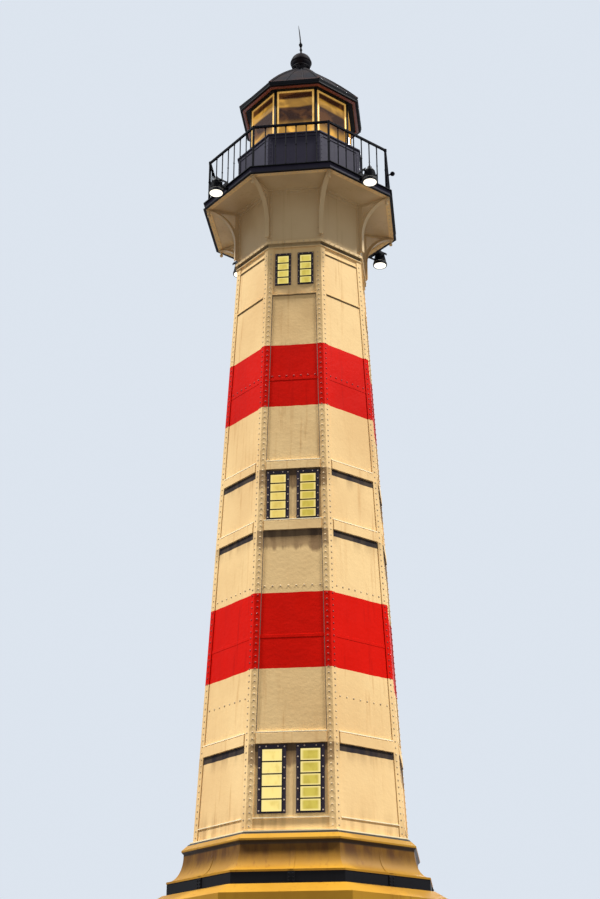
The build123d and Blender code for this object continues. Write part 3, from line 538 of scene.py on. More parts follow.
def floor_boards():
    """Timber boards, seven to the metre: lines between them, long grain and a tone for each board."""
    finish = Finish("timber_floor")
    across = finish.axis("X") * 7.0
    board = across.whole()
    gap = 1 - finish.between(across - board, 0.03, 0.97, 0.015)
    tint = finish.node("TexWhiteNoise", {"W": board}, "Value", noise_dimensions="1D")
    grain = finish.noise((70, 5, 4), 4, 0.6)
    tone = finish.mix(finish.step(grain, 0.35, 0.7), (0.3, 0.19, 0.1), (0.42, 0.29, 0.17))
    tone = finish.darken_by(0.4 * tint, tone, (0.55, 0.5, 0.45))
    tone = finish.mix(0.85 * gap, tone, (0.02, 0.015, 0.01))
    return finish.coat(tone, 0.5 + 0.2 * grain, grain * 0.0006 - gap * 0.002)


def grid_faces(rows, columns):
    """Quads between the points of a grid stored row by row, wrapped round both ways."""
    here = np.arange(rows * columns).reshape(rows, columns)
    down = np.roll(here, -1, 0)
    return np.stack([here, np.roll(here, -1, 1), np.roll(down, -1, 1), down], -1).reshape(-1, 4)


def closed_tube(points):
    """Rows of points as a tube, each row a closed ring, with a flat face at both ends."""
    rows, columns, _ = points.shape
    ring = np.arange(columns)[None]
    faces = [grid_faces(rows, columns)[:-columns], ring[:, ::-1], ring + (rows - 1) * columns]
    return points.reshape(-1, 3), faces


def lathe(profile, sides):
    """Profile of (radius, height) turned round the z axis: point = (r cos a, r sin a, h)."""
    radius, height = np.asarray(profile, float).T[..., None]
    angle = np.arange(sides) * 2 * np.pi / sides
    return closed_tube(np.stack([radius * np.cos(angle), radius * np.sin(angle), height + 0 * angle], -1))


def arc(radius, centre, low, high, count):
    """Profile of a ball between two angles in degrees above its middle: (r cos a, centre + r sin a)."""
    angle = np.radians(np.linspace(low, high, count))
    return list(zip(radius * np.cos(angle), centre + radius * np.sin(angle)))


def octagon_ring(section):
    """Section of (distance of the face from the axis, height), anticlockwise, carried round the corners.

    The corner point lies at distance / cos(half a step), so every face is straight and every corner mitred.
    """
    out, height = np.asarray(section, float).T
    turn = CORNERS[:, None]
    reach = out / np.cos(HALF_STEP)
    points = np.stack([reach * np.cos(turn), reach * np.sin(turn), height + 0 * turn], -1)
    return points.reshape(-1, 3), [grid_faces(8, len(out))]


def ring_band(inside, outside, low, high):
    """Octagon ring with a rectangular section."""
    return octagon_ring([(inside, low), (outside, low), (outside, high), (inside, high)])


def swept(path, side, normal, section):
    """Closed section carried along a path: point = path + s * side + n * normal. Its faces look outwards."""
    path = np.asarray(path, float)
    section = np.asarray(section, float)
    side = np.broadcast_to(side, path.shape)
    normal = np.broadcast_to(normal, path.shape)
    beside = section[:, :1] * side[:, None]
    points, faces = closed_tube(path[:, None] + beside + section[:, 1:] * normal[:, None])
    area = np.sum(section[:, 0] * np.roll(section[:, 1], -1) - np.roll(section[:, 0], -1) * section[:, 1])
    if area * np.dot(np.cross(side[0], normal[0]), path[-1] - path[0]) < 0:
        faces = [quads[:, ::-1] for quads in faces]
    return points, faces


def block(width, height, depth, edge):
    """Bar with chamfered long edges: x across, y up, z outwards from the middle of its back.

    Its section in the plane of y and z is a rectangle with its two outer corners cut at 45 degrees.
    """
    tall = height / 2
    section = [(-tall, 0), (tall, 0), (tall, depth - edge), (tall - edge, depth), (edge - tall, depth),
               (-tall, depth - edge)]
    return swept([(-width / 2, 0, 0), (width / 2, 0, 0)], (0, 1, 0), (0, 0, 1), section)


def dome(radius, height):
    """Rivet head: rings of a flattened half ball, the lowest one sunk a little into the plate."""
    return lathe(np.array([(1.0, -0.4), (1.0, 0.1), (0.86, 0.55), (0.45, 0.95)]) * (radius, height), 8)


def bolt(radius, height):
    """Hexagon head on a round washer."""
    size = (radius, height)
    return joined([lathe(np.array([(1.45, -0.3), (1.45, 0.2), (1.3, 0.3)]) * size, 12),
                   lathe(np.array([(1.0, 0.0), (1.0, 0.9), (0.82, 1.0)]) * size, 6)])


def joined(shapes):
    """Several shapes as one."""
    points = []
    faces = []
    start = 0
    for shape_points, shape_faces in shapes:
        points.append(shape_points)
        faces.extend(quads + start for quads in shape_faces)
        start += len(shape_points)
    return np.concatenate(points), faces


def stamped(shape, places, axes):
    """Copies of a shape: point = place + x * first axis + y * second axis + z * third axis."""
    points, faces = shape
    places = np.asarray(places, float)
    axes = np.broadcast_to(axes, (len(places), 3, 3))
    copies = places[:, None, :] + np.einsum("pk,nkj->npj", points, axes)
    shift = (np.arange(len(places)) * len(points))[:, None, None]
    return copies.reshape(-1, 3), [(quads[None] + shift).reshape(-1, quads.shape[1]) for quads in faces]


def face_axes(turn, lean=0.0):
    """Rows: across a face, up its slope, and outwards."""
    turn = np.asarray(turn, float)
    level = np.stack([np.cos(turn), np.sin(turn), 0 * turn], -1)
    across = np.stack([-np.sin(turn), np.cos(turn), 0 * turn], -1)
    rise = np.array([0.0, 0.0, 1.0])
    up = np.cos(lean) * rise - np.sin(lean) * level
    return np.stack([across, up, np.cos(lean) * level + np.sin(lean) * rise], -2)


def on_wall(turn, across, height, out):
    """Points on an upright face: (out cos t - across sin t, out sin t + across cos t, height)."""
    x = out * np.cos(turn) - across * np.sin(turn)
    y = out * np.sin(turn) + across * np.cos(turn)
    return np.stack(np.broadcast_arrays(x, y, height), -1)


def fixed(shape, turn, across, height, out, lie=FACING, lean=0.0):
    """Copies of a shape at places on the faces, each lying there as asked."""
    turn, across, height, out = [each.ravel() for each in np.broadcast_arrays(turn, across, height, out)]
    axes = np.eye(3)
    if lie is not AS_DRAWN:
        order, way = lie
        axes = face_axes(turn, lean)[:, order] * np.array(way)[:, None]
    return stamped(shape, on_wall(turn, across, height, out), axes)


def leaning(rise, proud):
    """Height and distance from the axis of points a little proud of the leaning plates."""
    return SHAFT_FOOT + rise + proud * np.sin(LEAN), SHAFT_FOOT_OUT - SLOPE * rise + proud * np.cos(LEAN)


def plated(shape, turn, across, rise, proud, lie=FACING):
    """Copies of a shape on the leaning plates."""
    return fixed(shape, turn, across, *leaning(rise, proud), lie, LEAN)


def plate_half(rise):
    """Half the width of a plate between its two corner angles."""
    return (SHAFT_FOOT_OUT - SLOPE * rise) * SPREAD - ANGLE_WIDTH


def turned_round(shape, turns=FACES):
    """Copies of a shape drawn on the face along +X, turned about the tower's axis."""
    return stamped(shape, np.zeros((len(turns), 3)), face_axes(turns)[:, [2, 0, 1]])


def riveted_wall(out, low, high, strap, inset, levels, rivet, bands, proud, count, margin):
    """Straps up both edges of every face, bands round the wall, and rivets along both of them.

    A strap is its shortening, width, depth and chamfer, and a band is its two levels.
    """
    tall = high - low
    half = out * SPREAD
    short, *section = strap
    edges = SIDES * (half - inset)
    across, turn = np.ix_(edges, FACES)
    straps = [fixed(block(tall - short, *section), turn, across, low + tall / 2, out, UPRIGHT)]
    level, across, turn = np.ix_(levels, edges, FACES)
    rivets = [fixed(dome(*rivet), turn, across, low + level, out + section[1])]
    across, turn = np.ix_(np.linspace(margin - half, half - margin, count), FACES)
    for under, over in bands:
        straps.append(ring_band(out - 0.004, out + proud, under, over))
        rivets.append(fixed(dome(*rivet), turn, across, (under + over) / 2, out + proud))
    return joined(straps), joined(rivets)


def placed(name, data):
    """A new object in the scene."""
    made = bpy.data.objects.new(name, data)
    scene.collection.objects.link(made)
    return made


def surface(name, points, faces, finish):
    """A new object from lists of points and faces."""
    mesh = bpy.data.meshes.new(name)
    mesh.from_pydata(points, [], faces)
    mesh.materials.append(finish.material)
    return placed(name, mesh)


def piece(name, shape, finish, stands_for=(), sharp=0.6):
    """A shape as a piece of the lighthouse, riding on its one body."""
    points, faces = shape
    made = surface(name, points.tolist(), [face for quads in faces for face in quads.tolist()], finish)
    made.data.shade_smooth()
    made.data.set_sharp_from_angle(angle=sharp)
    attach(made, "root")
    if stands_for:
        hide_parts(*stands_for)


def paint_nodes(finish, *nodes):
    """Give a finish to nodes of the frame."""
    for node in nodes:
        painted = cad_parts[node]
        if len(painted.material_slots) == 0:
            painted.data.materials.append(finish.material)
        for slot in painted.material_slots:
            slot.material = finish.material


def aim_camera():
    """The photograph's standpoint: rolled a little, tilted up, then turned a little left of +Y."""
    roll, tilt, turn = np.radians([-0.125, 90 + 24.798, 6.593])
    lens = bpy.data.cameras.new("camera")
    lens.lens = 56.15
    lens.sensor_width = 36.0
    lens.clip_end = 500.0
    scene.camera = placed("camera", lens)
    scene.camera.matrix_world = (Matrix.Translation((2.394, -21.025, 1.603)) @ Matrix.Rotation(turn, 4, "Z")
                                 @ Matrix.Rotation(tilt, 4, "X") @ Matrix.Rotation(roll, 4, "Z"))


def sun(name, heading, elevation, strength, softness):
    """Soft far lamp: heading in degrees round the tower from +X, elevation above the ground."""
    lamp = bpy.data.lights.new(name, "SUN")
    lamp.energy = strength
    lamp.angle = np.radians(softness)
    placed(name, lamp).rotation_euler = np.radians([90 - elevation, 0, heading + 90])


def light_stage():
    """Pale floor, two soft lamps beside the tower and one behind, and a pale backdrop for the camera."""
    sun("left_lamp", -170, 56, 4.7, 7)
    sun("right_lamp", -10, 55, 4.7, 7)
    sun("back_lamp", 90, 40, 1.1, 12)
    scene.world = bpy.data.worlds.new("studio")
    air = Nodes(scene.world)
    soft = air.node("Background", {"Color": (1.0, 1.0, 1.0), "Strength": 0.36})
    backdrop = air.node("Background", {"Color": (0.72, 0.78, 0.86), "Strength": 1.0})
    air.node("OutputWorld", {"Surface": air.node("MixShader", {0: air.seen_rays(), 1: soft, 2: backdrop})})
    finish = Finish("stage_floor")
    pale = finish.mix(0.2 * finish.noise((0.8, 0.8, 0.8)), (0.214, 0.232, 0.256), (0.196, 0.212, 0.235))
    finish.coat(finish.mix(finish.seen_rays(), (0.08, 0.08, 0.08), pale), 0.7)
    corners = [(-60, -60, 0), (60, -60, 0), (60, 60, 0), (-60, 60, 0)]
    floor = surface("stage_floor", corners, [(0, 1, 2, 3)], finish)


scene.view_settings.view_transform = "Standard"
aim_camera()
light_stage()

# Finishes. A plain paint is its colour, grime, roughness, dents, fading, rust, gloss and streaks.
cream = shaft_paint("cream_and_red_paint")
# Paint of the belts, with a painted highlight on their lips
belt_cream = shaft_paint("belt_paint", 0.8, False)
angle_cream = shaft_paint("angle_paint", 0.0, False)
rivets = rivet_paint()
OILY = (0.5, 0.45, 0.42)
DUSTY = (0.5, 0.45, 0.4)
gallery_cream = plain_paint("gallery_cream_paint", (0.68, 0.5, 0.275), (0.55, 0.42, 0.3), spread=0.5,
                            streaks=0.25)
black = plain_paint("black_paint", (0.007, 0.007, 0.009), OILY, 0.46, 0.0012, 0.4, 0.25, 0.09)
railing_black = plain_paint("railing_paint", (0.006, 0.006, 0.009), OILY, 0.6, 0.0004, 0.4, 0.25, 0.03)
window_black = plain_paint("window_frame_paint", (0.03, 0.021, 0.034), OILY, 0.45, 0.0006, 0.4, 0.2)
slate = plain_paint("slate_paint", (0.03, 0.026, 0.046), (0.5, 0.45, 0.45), 0.42, 0.0012, 0.5, 0.2, 0.12)
pedestal_black = plain_paint("pedestal_paint", (0.016, 0.016, 0.02), (0.5, 0.42, 0.36), 0.42, 0.0016, 0.5,
                             0.4, 0.2, 0.6)
deck_iron = plain_paint("deck_plate_iron", (0.04, 0.038, 0.04), (0.6, 0.45, 0.36), 0.5, 0.001, 0.6, 0.6, 0.2)
ochre = ochre_paint()
fittings = brass("brass_fittings")
copper = roof_copper()
# Copper brightened to a painted highlight, for the bead under the eaves
copper_painted_highlight = plain_paint("copper_painted_highlight", (0.3, 0.065, 0.03), (0.1, 0.04, 0.03), 0.32, 0.0006, 0.6, 0.0,
                          0.5, 0.3)
lens_glow = lit_lens()
bolt_paint = plain_paint("bolt_heads", (0.62, 0.5, 0.4), (0.5, 0.42, 0.32), 0.4, 0.0003, 0.6, 0.5,
                         streaks=0.6)
steel = plain_paint("bright_steel", (0.62, 0.6, 0.55), DUSTY, 0.25, 0.0002, 0.4, 0.2, streaks=0.4)
door_green = plain_paint("door_paint", (0.045, 0.075, 0.055), DUSTY, 0.35, 0.0006, 0.4, 0.2)

walls = ("front_wall", "back_wall", "side_walls", "diagonal_walls")
paint_nodes(cream, *["shaft_" + wall for wall in walls], "upper_ledges", "head_ledges")
paint_nodes(angle_cream, "corner_angles")
paint_nodes(belt_cream, "lower_belts", "middle_belts", "lower_ledges")
paint_nodes(course_paint(), "string_course")
paint_nodes(gallery_cream, "watch_room_main_walls", "watch_room_diagonal_walls", "gallery_deck",
            "gallery_brackets")
paint_nodes(window_black, "lower_window_frames", "middle_window_frames", "upper_window_frames")
paint_nodes(railing_black, "gallery_posts", "gallery_railings")
paint_nodes(black, "base_fascia", "floodlights", "lantern_mullions", "lantern_eaves")
paint_nodes(pedestal_black, *["pedestal_" + wall for wall in walls], "door_frame")
paint_nodes(slate, "lantern_base_wall", "lantern_sill", "gallery_edge")
paint_nodes(ochre, "base_cavetto", "base_lower_band")
paint_nodes(top_band_paint(), "base_top_band")
# Painted glow of each storey's glass: left window, right window, and the brighter rim of the panes
pane_tones = [((1.0, 0.8, 0.26), (0.62, 0.5, 0.075), (0.95, 0.78, 0.3)),
              ((0.8, 0.6, 0.15), (0.6, 0.47, 0.07), (0.9, 0.7, 0.24)),
              ((0.72, 0.58, 0.12), (0.66, 0.54, 0.1), (0.85, 0.72, 0.24))]
storeys = [("lower", "low"), ("middle", "middle"), ("upper", "high")]
for (storey, row), window, tones in zip(storeys, WINDOWS, pane_tones):
    paint_nodes(pane_glow("lit_glass_" + row, window, *tones), storey + "_window_glass")
paint_nodes(lantern_glass(), "lantern_glass")
# The lantern's frames get a painted glow of its light
paint_nodes(brass("brass_frames", 0.35), "lantern_pane_frames")
paint_nodes(copper, "lantern_roof", "ball_ventilator", "finial")
paint_nodes(lens_glow, "floodlight_lenses")
paint_nodes(dressed_stone(), "foundation_ring", "ground_floor")
paint_nodes(floor_boards(), "lower_floor", "middle_floor", "upper_floor")
paint_nodes(door_green, "door_leaf")

# Rivets along the corner angles, one row on each flange
rise, side, turn = np.ix_(np.arange(0.06, SHAFT_HEIGHT - 0.04, RIVET_PITCH), SIDES, FACES)
piece("corner_rivets", plated(dome(*CORNER_RIVET), turn, side * (plate_half(rise) + ANGLE_WIDTH / 2), rise,
                              ANGLE_THICKNESS), rivets)

# Rows of rivets that join the plates
rows = []
for rise, faces in PLATE_ROWS:
    half = plate_half(rise) - 0.05
    across, turn = np.ix_(np.linspace(-half, half, int(half / 0.0575) + 1), faces)
    rows.append(plated(dome(*PLATE_RIVET), turn, across, rise, 0.0))
piece("plate_rivets", joined(rows), rivets)

# Overlapped edges of the plates
seams = [plated(block(2 * plate_half(rise) - 0.004, 0.05, 0.005, 0.003), FACES, 0.0, rise, -0.001)
         for rise in LAP_SEAMS]
piece("plate_seams", joined(seams), cream)

# Cover strips over the belts, from under the lip down past the belt's foot
covers = []
for under, tall in BELTS:
    strip = tall - BELT_LIP - 0.004
    cover = block(2 * plate_half(under + tall) - 0.014, strip, 0.027, 0.003)
    covers.append(plated(cover, FACES, 0.0, under - 0.006 + strip / 2, 0.0))
piece("belt_covers", joined(covers), angle_cream)

# Dark strip beside each corner angle of the main faces, between the belts and the ledge: painted shade along
# the angle's edge
edge_shade = plain_paint("edge_shade_line", (0.1, 0.075, 0.055), DUSTY, 0.6, 0.0003)
section = [(0.0, -0.002), (0.011, -0.002), (0.011, 0.0012), (0.0, 0.006)]
lines = []
for low, high in EDGE_SHADE_LINES:
    rise = np.linspace(low, high, 12)
    for side in SIDES:
        path = on_wall(0.0, side * plate_half(rise), *leaning(rise, 0.0))
        lines.append(swept(path, (0, -side, 0), (np.cos(LEAN), 0, np.sin(LEAN)), section))
piece("edge_shade_lines", turned_round(joined(lines), MAIN_FACES), edge_shade)

# Windows: bars across the glass, a bead round each opening, and bolts up and over the flange
bars = []
bolts = []
for sill, tall, wide, off, panes, flange in WINDOWS:
    flange_bolt = bolt(flange * 0.13, 0.008)
    sides = SIDES[:, None]
    for middle in (-off, off):
        levels = (sill + tall * np.arange(1, panes) / panes)[:, None]
        bars.append(plated(block(wide, *GLAZING_BAR), WINDOW_FACES, middle, levels, -GLASS_DEPTH))
        bars.append(plated(block(tall, *WINDOW_BEAD), WINDOW_FACES, middle + sides * (wide / 2 + 0.004),
                           sill + tall / 2, FLANGE_PROUD, UPRIGHT))
        bars.append(plated(block(wide + 0.015, *WINDOW_BEAD), WINDOW_FACES, middle,
                           sill + tall / 2 + sides * (tall / 2 + 0.004), FLANGE_PROUD))
        levels = np.linspace(sill + 0.008, sill + tall + flange * 0.5, panes + 2)[:, None, None]
        bolts.append(plated(flange_bolt, WINDOW_FACES, middle + sides * (wide / 2 + flange * 0.6), levels,
                            FLANGE_PROUD))
        bolts.append(plated(flange_bolt, WINDOW_FACES, middle + sides * wide * 0.3,
                            sill + tall + flange * 0.6, FLANGE_PROUD))
piece("window_bars", joined(bars), black)
piece("window_bolts", joined(bolts), bolt_paint)

# Joints of the base castings: a cover strap beside the middle of every face, bolted on the fascia
curve = np.linspace(0.0, np.pi / 2, 14)
hollow_head = CAVETTO_TOP - 0.028
hollow_foot = FASCIA_TOP + 0.027
path = np.stack([LIP_OUT - (LIP_OUT - CAVETTO_TOP_OUT) * np.sin(curve), BASE_JOINT + 0 * curve,
                 hollow_head - (hollow_head - hollow_foot) * np.cos(curve)], -1)
cover = swept(path, (0, 1, 0), np.stack([np.cos(curve), 0 * curve, np.sin(curve)], -1),
              [(-0.035, -0.004), (0.035, -0.004), (0.03, 0.007), (-0.03, 0.007)])
piece("cavetto_straps", turned_round(cover), ochre)
tall = FASCIA_TOP - FASCIA_FOOT
strap = block(tall - 0.004, 0.1, 0.014, 0.004)
piece("fascia_straps", fixed(strap, FACES, BASE_JOINT, FASCIA_FOOT + tall / 2, FASCIA_OUT, UPRIGHT), black)
share, across, turn = np.ix_([0.22, 0.5, 0.78], [BASE_JOINT - 0.03, BASE_JOINT + 0.03], FACES)
piece("fascia_bolts", fixed(bolt(0.01, 0.011), turn, across, FASCIA_FOOT + share * tall,
                            FASCIA_OUT + 0.014), black)

# Gallery: flange under the deck, angle along the wall, lips of the edge channel
piece("soffit_flange", ring_band(DECK_OUT - 0.08, DECK_OUT, DECK_UNDER - 0.01, DECK_UNDER + 0.002), cream)
section = [(-0.002, -0.07), (0.009, -0.07), (0.012, -0.012), (0.07, -0.009), (0.07, 0.002), (-0.002, 0.002)]
piece("soffit_wall_angle", octagon_ring(np.array(section) + (WATCH_OUT, DECK_UNDER)), gallery_cream)
for name, low in (("edge_foot_lip", CHANNEL_FOOT), ("edge_head_lip", CHANNEL_TOP - 0.012)):
    piece(name, ring_band(CHANNEL_OUT - 0.004, CHANNEL_OUT + 0.034, low, low + 0.012), black)

# Rivets of the soffit's flange and wall angle, and round the watch room's head and foot
rows = []
for out in (DECK_OUT - 0.04, WATCH_OUT + 0.045):
    half = out * SPREAD - 0.08
    across, turn = np.ix_(np.linspace(-half, half, int(2 * half / 0.11) + 1), FACES)
    rows.append(fixed(dome(*GALLERY_RIVET), turn, across, DECK_UNDER - 0.01, out, DOWNWARD))
half = WATCH_OUT * SPREAD - 0.06
across, turn = np.ix_(np.linspace(-half, half, 8), FACES)
for level, out in ((DECK_UNDER - 0.043, WATCH_OUT + 0.01), (WATCH_FOOT - 0.037, COURSE_OUT)):
    rows.append(fixed(dome(*GALLERY_RIVET), turn, across, level, out))
piece("gallery_rivets", joined(rows), rivets)

# Feet of the brackets: a riveted angle on each side, along the watch room's wall
across, turn = np.ix_(SIDES * (WATCH_OUT * SPREAD - 0.032), FACES)
strap = block(0.9, 0.05, 0.01, 0.003)
piece("bracket_angles", fixed(strap, turn, across, DECK_UNDER - 0.52, WATCH_OUT, UPRIGHT), gallery_cream)
levels = DECK_UNDER - np.linspace(0.12, 0.92, 8)[:, None, None]
piece("bracket_rivets", fixed(dome(*BRACKET_RIVET), turn, across, levels, WATCH_OUT + 0.01), rivets)

# Railing: round handrail, collars on the posts and balusters, and foot plates
circle = np.array(arc(1, 0, 0, 324, 10))
piece("handrail", octagon_ring(0.019 * circle + (RAIL_OUT, RAIL_TOP + 0.006)), railing_black)
collar = lathe([(0.0, -0.014), (0.02, -0.014), (0.026, -0.007), (0.026, 0.007), (0.02, 0.014),
                (0.0, 0.014)], 14)
small = lathe([(0.0, -0.01), (0.012, -0.01), (0.0165, 0.0), (0.012, 0.01), (0.0, 0.01)], 10)
plate = lathe([(0.0, -0.004), (0.052, -0.004), (0.052, 0.006), (0.044, 0.01), (0.026, 0.012),
               (0.022, 0.03), (0.0, 0.03)], 16)
pitch = (2 * POST_OUT * np.sin(HALF_STEP) - 0.04 - 0.022) / 7
levels = DECK_TOP + np.array([0.145, 0.56, 0.96])[:, None]
collars = [fixed(collar, CORNERS, 0.0, levels, POST_OUT, AS_DRAWN)]
across, turn, level = np.ix_(pitch * (np.arange(6) - 2.5), FACES, [0.17, 0.55, 0.94])
collars.append(fixed(small, turn, across, DECK_TOP + level, RAIL_OUT, AS_DRAWN))
collars.append(fixed(plate, CORNERS, 0.0, DECK_TOP, POST_OUT, AS_DRAWN))
piece("railing_collars", joined(collars), railing_black)

# Corner posts with a low cap at the handrail, and the stub with a ball on the right-hand post
post = lathe([(0.021, DECK_TOP), (0.021, RAIL_TOP - 0.004), (0.027, RAIL_TOP), (0.027, RAIL_TOP + 0.016),
              (0.018, RAIL_TOP + 0.024), (0.006, RAIL_TOP + 0.027)], 16)
stub = lathe([(0.012, 0.0), (0.012, STUB_REACH - 0.036), (0.018, STUB_REACH - 0.034)]
             + arc(STUB_BALL, STUB_REACH, np.degrees(-1.1), 84.6, 10), 20)
piece("gallery_post_set", joined([fixed(post, CORNERS, 0.0, 0.0, POST_OUT, AS_DRAWN),
                                  fixed(stub, FRONT + 3 * HALF_STEP, 0.0, STUB_LEVEL, POST_OUT)]),
      railing_black, ("gallery_posts",))

# Deck plates: a flat sheet on each side, a little apart, with rows of short ribs
inside = LANTERN_WALL_OUT + 0.012
outside = DECK_OUT - 0.004
outline = [(out, side * (out * SPREAD - 0.004))
           for out, side in ((inside, -1), (outside, -1), (outside, 1), (inside, 1))]
sheet = swept([(0, 0, DECK_TOP + 0.0005), (0, 0, DECK_TOP + 0.006)], (1, 0, 0), (0, 1, 0), outline)
along, over, turn = np.ix_(np.linspace(-0.44, 0.44, 12), inside + 0.06 + 0.075 * np.arange(6), FACES)
rib = block(0.052, 0.012, 0.003, 0.001)
ribs = fixed(rib, turn, along * over / outside, DECK_TOP + 0.0055, over, SKYWARD)
piece("deck_plates", joined([turned_round(sheet), ribs]), deck_iron)

# Wall under the lantern
strips, studs = riveted_wall(
    LANTERN_WALL_OUT, DECK_TOP, LANTERN_WALL_TOP, (0.01, 0.06, 0.008, 0.003), 0.034,
    np.linspace(0.1, LANTERN_WALL_TOP - DECK_TOP - 0.1, 12), LANTERN_RIVET,
    [(DECK_TOP, DECK_TOP + 0.075), (LANTERN_WALL_TOP - 0.065, LANTERN_WALL_TOP)], 0.01, 8, 0.09)
piece("lantern_wall_strips", strips, slate)
piece("lantern_wall_rivets", studs, slate)

# Glazing: dark cover bars on the corners
tall = GLAZING_TOP - GLAZING_FOOT
piece("mullion_covers", fixed(block(tall, 0.044, 0.02, 0.006), CORNERS, 0.0, GLAZING_FOOT + tall / 2,
                              GLAZING_OUT / np.cos(HALF_STEP) - 0.016, UPRIGHT), black)

# Eaves: moulded gutter outside, and a copper bead round the underside, brightened to a painted highlight of
# lamp light
lower = np.array([(-0.03, 0.03), (0.004, 0.03), (0.006, 0.052), (0.012, 0.064)])
upper = np.array([(0.013, 0.004), (0.008, 0.01), (-0.03, 0.006)])
moulding = [*lower + (EAVES_OUT, GLAZING_TOP), *upper + (EAVES_OUT, ROOF_FOOT)]
piece("eaves_moulding", octagon_ring(moulding), black)
bead = [(0.984, 0.006), (0.984, -0.01), (0.996, -0.021), (1.022, -0.022), (1.038, -0.012), (1.04, 0.006)]
piece("eaves_bead", octagon_ring(np.array(bead) + (0.0, GLAZING_TOP)), copper_painted_highlight)

# Roof: bowed sheets, rolls on the hips and two standing seams on each face
share = np.linspace(0, 1, 17)
slope = np.array([ROOF_TOP_OUT - EAVES_OUT, ROOF_TOP - ROOF_FOOT])
square_to_slope = np.array([slope[1], -slope[0]]) / np.hypot(*slope)
bow = 4 * share * (1 - share) * ROOF_BULGE
outer = (EAVES_OUT, ROOF_FOOT) + share[:, None] * slope + bow[:, None] * square_to_slope
inner = outer - (0.032, 0.0)
piece("roof_sheets", octagon_ring(np.concatenate([outer, inner[::-1]])), copper,
      ("lantern_roof",), 0.3)
roof_out, roof_height = outer.T
along = np.gradient(outer, axis=0)
along = along / np.linalg.norm(along, axis=1)[:, None]
ridges = []
for across, turn, size in ((0.0, HALF_STEP, 0.024), (-0.36, 0.0, 0.013), (0.36, 0.0, 0.013)):
    path = np.stack([roof_out, roof_out * (np.tan(turn) + across * SPREAD), roof_height], -1)
    normal = np.stack([along[:, 1] * np.cos(turn), along[:, 1] * np.sin(turn), -along[:, 0]], -1)
    ridges.append(turned_round(swept(path, (-np.sin(turn), np.cos(turn), 0), normal, size * circle)))
piece("roof_rolls", joined(ridges), copper)

# Ball ventilator: flanged neck with louvre rings, and a ball with a band
ball_foot = BALL_CENTRE - np.sqrt(BALL_RADIUS ** 2 - NECK_RADIUS ** 2)
ball = [(0.215, ROOF_TOP - 0.045), (0.222, ROOF_TOP + 0.004), (0.175, ROOF_TOP + 0.022)]
louvre = np.array([(0.0, 0.0), (0.016, 0.004), (0.012, 0.012), (0.0, 0.02)])
for level in np.linspace(ROOF_TOP + 0.03, ball_foot - 0.038, 4):
    ball += [*louvre + (NECK_RADIUS, level)]
ball += [(NECK_RADIUS + 0.02, ball_foot - 0.008), (NECK_RADIUS + 0.02, ball_foot + 0.006)]
ball += arc(BALL_RADIUS, BALL_CENTRE, -47, -6, 9)
ball += [(BALL_RADIUS + 0.006, BALL_CENTRE - 0.016), (BALL_RADIUS + 0.009, BALL_CENTRE),
         (BALL_RADIUS + 0.006, BALL_CENTRE + 0.016)]
ball += arc(BALL_RADIUS, BALL_CENTRE, 6, 78, 14) + [(0.036, BALL_TOP - 0.001)]
piece("ventilator_ball", lathe(ball, 48), copper, ("ball_ventilator",))

# Finial: flared foot, ringed stem, bulb, and a spike that bends a little to the left as it rises
tip = FINIAL_TIP - BALL_TOP
rod = [(0.06, -0.006), (0.058, 0.008), (0.04, 0.02), (0.026, 0.042), (0.019, 0.07), (0.0185, 0.118),
       (0.027, 0.124), (0.027, 0.134), (0.0175, 0.142), (0.0165, 0.2), (0.026, 0.208), (0.021, 0.216)]
rod += arc(0.036, 0.251, -55, 60, 12)
rod += [(0.014, 0.292), (0.019, 0.3), (0.0125, 0.312), (0.0115, 0.42), (0.0095, 0.55), (0.0065, 0.66),
        (0.003, tip - 0.03), (0.0012, tip - 0.004)]
points, faces = lathe(rod, 20)
points[:, 0] -= 0.09 * np.clip(points[:, 2], 0, None) ** 2
points[:, 2] += BALL_TOP
piece("finial_spike", (points, faces), copper, ("finial",))

# Floodlights: turned housing with cooling fins, steel rim, yoke on an arm from the gallery's edge
housing = [(0.112, 0.013), (0.1135, 0.001), (0.125, 0.0), (0.13, 0.007), (0.13, 0.043), (0.124, 0.05),
           (0.11, 0.052), (0.108, 0.066)]
fin = np.array([(0.104, 0.078), (0.117, 0.08), (0.117, 0.088), (0.102, 0.091)])
for count in range(6):
    housing += [*fin + (-0.0052 * count, 0.027 * count)]
housing += [(0.074, 0.242), (0.07, 0.256), (0.05, 0.27), (0.04, 0.3), (0.037, 0.318), (0.024, 0.324),
            (0.022, 0.34), (0.012, 0.342)]
pivot = lathe([(0.0, -0.02), (0.018, -0.02), (0.018, 0.016), (0.01, 0.02), (0.0, 0.02)], 12)
rim = lathe([(0.109, 0.0505), (0.1245, 0.0505), (0.126, 0.054), (0.122, 0.0575), (0.109, 0.0575)], 40)
inset = np.linspace(1, 0.12, 6)
lens = lathe(list(zip(0.111 * inset, 0.003 - 0.009 * (1 - inset ** 2)))[::-1] + [(0.111, 0.013)], 40)
hung = (0.0, 0.0, LENS_UNDER, LAMP_OUT, AS_DRAWN)
parts = [fixed(lathe(housing, 40), *hung),
         fixed(block(0.125, 0.056, 0.022, 0.005), 0.0, 0.0, DECK_TOP + 0.02, 1.69, AS_DRAWN),
         fixed(block(0.276, 0.06, 0.01, 0.002), 0.0, 0.0, YOKE_LEVEL, 1.735)]
for side in SIDES:
    sideways = [(1, 0, 0), (0, 0, -side), (0, side, 0)]
    for shape, out in ((block(0.19, 0.04, 0.008, 0.002), 1.825), (pivot, LAMP_OUT)):
        parts.append(stamped(shape, [(out, side * YOKE_ACROSS, YOKE_LEVEL)], sideways))
piece("floodlight_bodies", turned_round(joined(parts), DIAGONALS), black,
      ("floodlights",))
piece("floodlight_rims", turned_round(fixed(rim, *hung), DIAGONALS), steel)
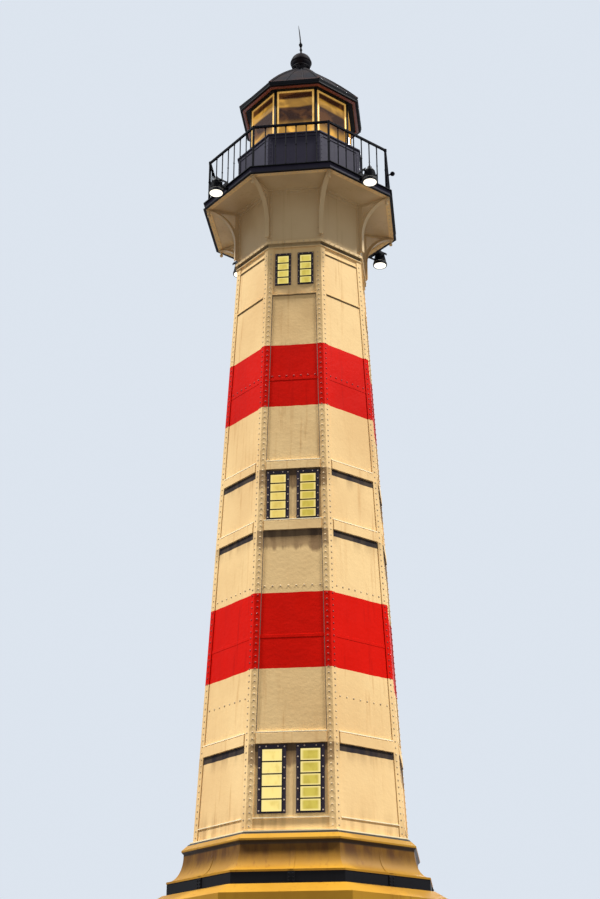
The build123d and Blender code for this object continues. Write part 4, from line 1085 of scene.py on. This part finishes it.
piece("floodlight_glass", turned_round(fixed(lens, *hung), DIAGONALS), lens_glow,
      ("floodlight_lenses",))

# Pedestal: corner straps, a belt over the door and a head rail
straps, studs = riveted_wall(
    PEDESTAL_OUT, PEDESTAL_FOOT, PEDESTAL_TOP, (0.002, 0.106, 0.014, 0.004), 0.058,
    np.arange(0.06, PEDESTAL_TOP - PEDESTAL_FOOT - 0.02, 0.105), PEDESTAL_RIVET,
    [(PEDESTAL_FOOT + 2.36, PEDESTAL_FOOT + 2.47), (PEDESTAL_TOP - 0.11, PEDESTAL_TOP)], 0.012, 13, 0.16)
piece("pedestal_straps", straps, pedestal_black)
piece("pedestal_rivets", studs, pedestal_black)

# Door: moulded beads round the two panels, three strap hinges, a kick plate and the lock's plate
leaf_low, leaf_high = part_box("door_leaf")
door_middle = (leaf_low.z + leaf_high.z) / 2
panel_tall = (leaf_high.z - leaf_low.z - 0.39) / 2
panel_wide = leaf_high.x - leaf_low.x - 0.26
panel_middles = door_middle + SIDES * (panel_tall + 0.13) / 2
edge_levels = np.add.outer(panel_middles, SIDES * panel_tall / 2)
middle, across = np.ix_(panel_middles, SIDES * panel_wide / 2)
beads = [fixed(block(panel_wide + 0.02, *DOOR_BEAD), FRONT, 0.0, edge_levels, DOOR_OUT),
         fixed(block(panel_tall, *DOOR_BEAD), FRONT, across, middle, DOOR_OUT, UPRIGHT)]
piece("door_beads", joined(beads), door_green)
hinge_levels = leaf_low.z + np.array([0.3, 1.05, 1.8])
pin = lathe([(0.012, -0.055), (0.014, -0.045), (0.014, 0.045), (0.012, 0.055)], 14)
metal = [fixed(block(panel_wide + 0.2, 0.1, 0.004, 0.002), FRONT, 0.0, leaf_low.z + 0.062, DOOR_OUT),
         fixed(block(0.05, 0.2, 0.005, 0.002), FRONT, 0.382, door_middle, DOOR_OUT),
         fixed(block(0.3, 0.04, 0.008, 0.003), FRONT, -0.3, hinge_levels, DOOR_OUT),
         fixed(pin, FRONT, -0.447, hinge_levels, DOOR_OUT + 0.008, AS_DRAWN)]
piece("door_fittings", joined(metal), fittings)
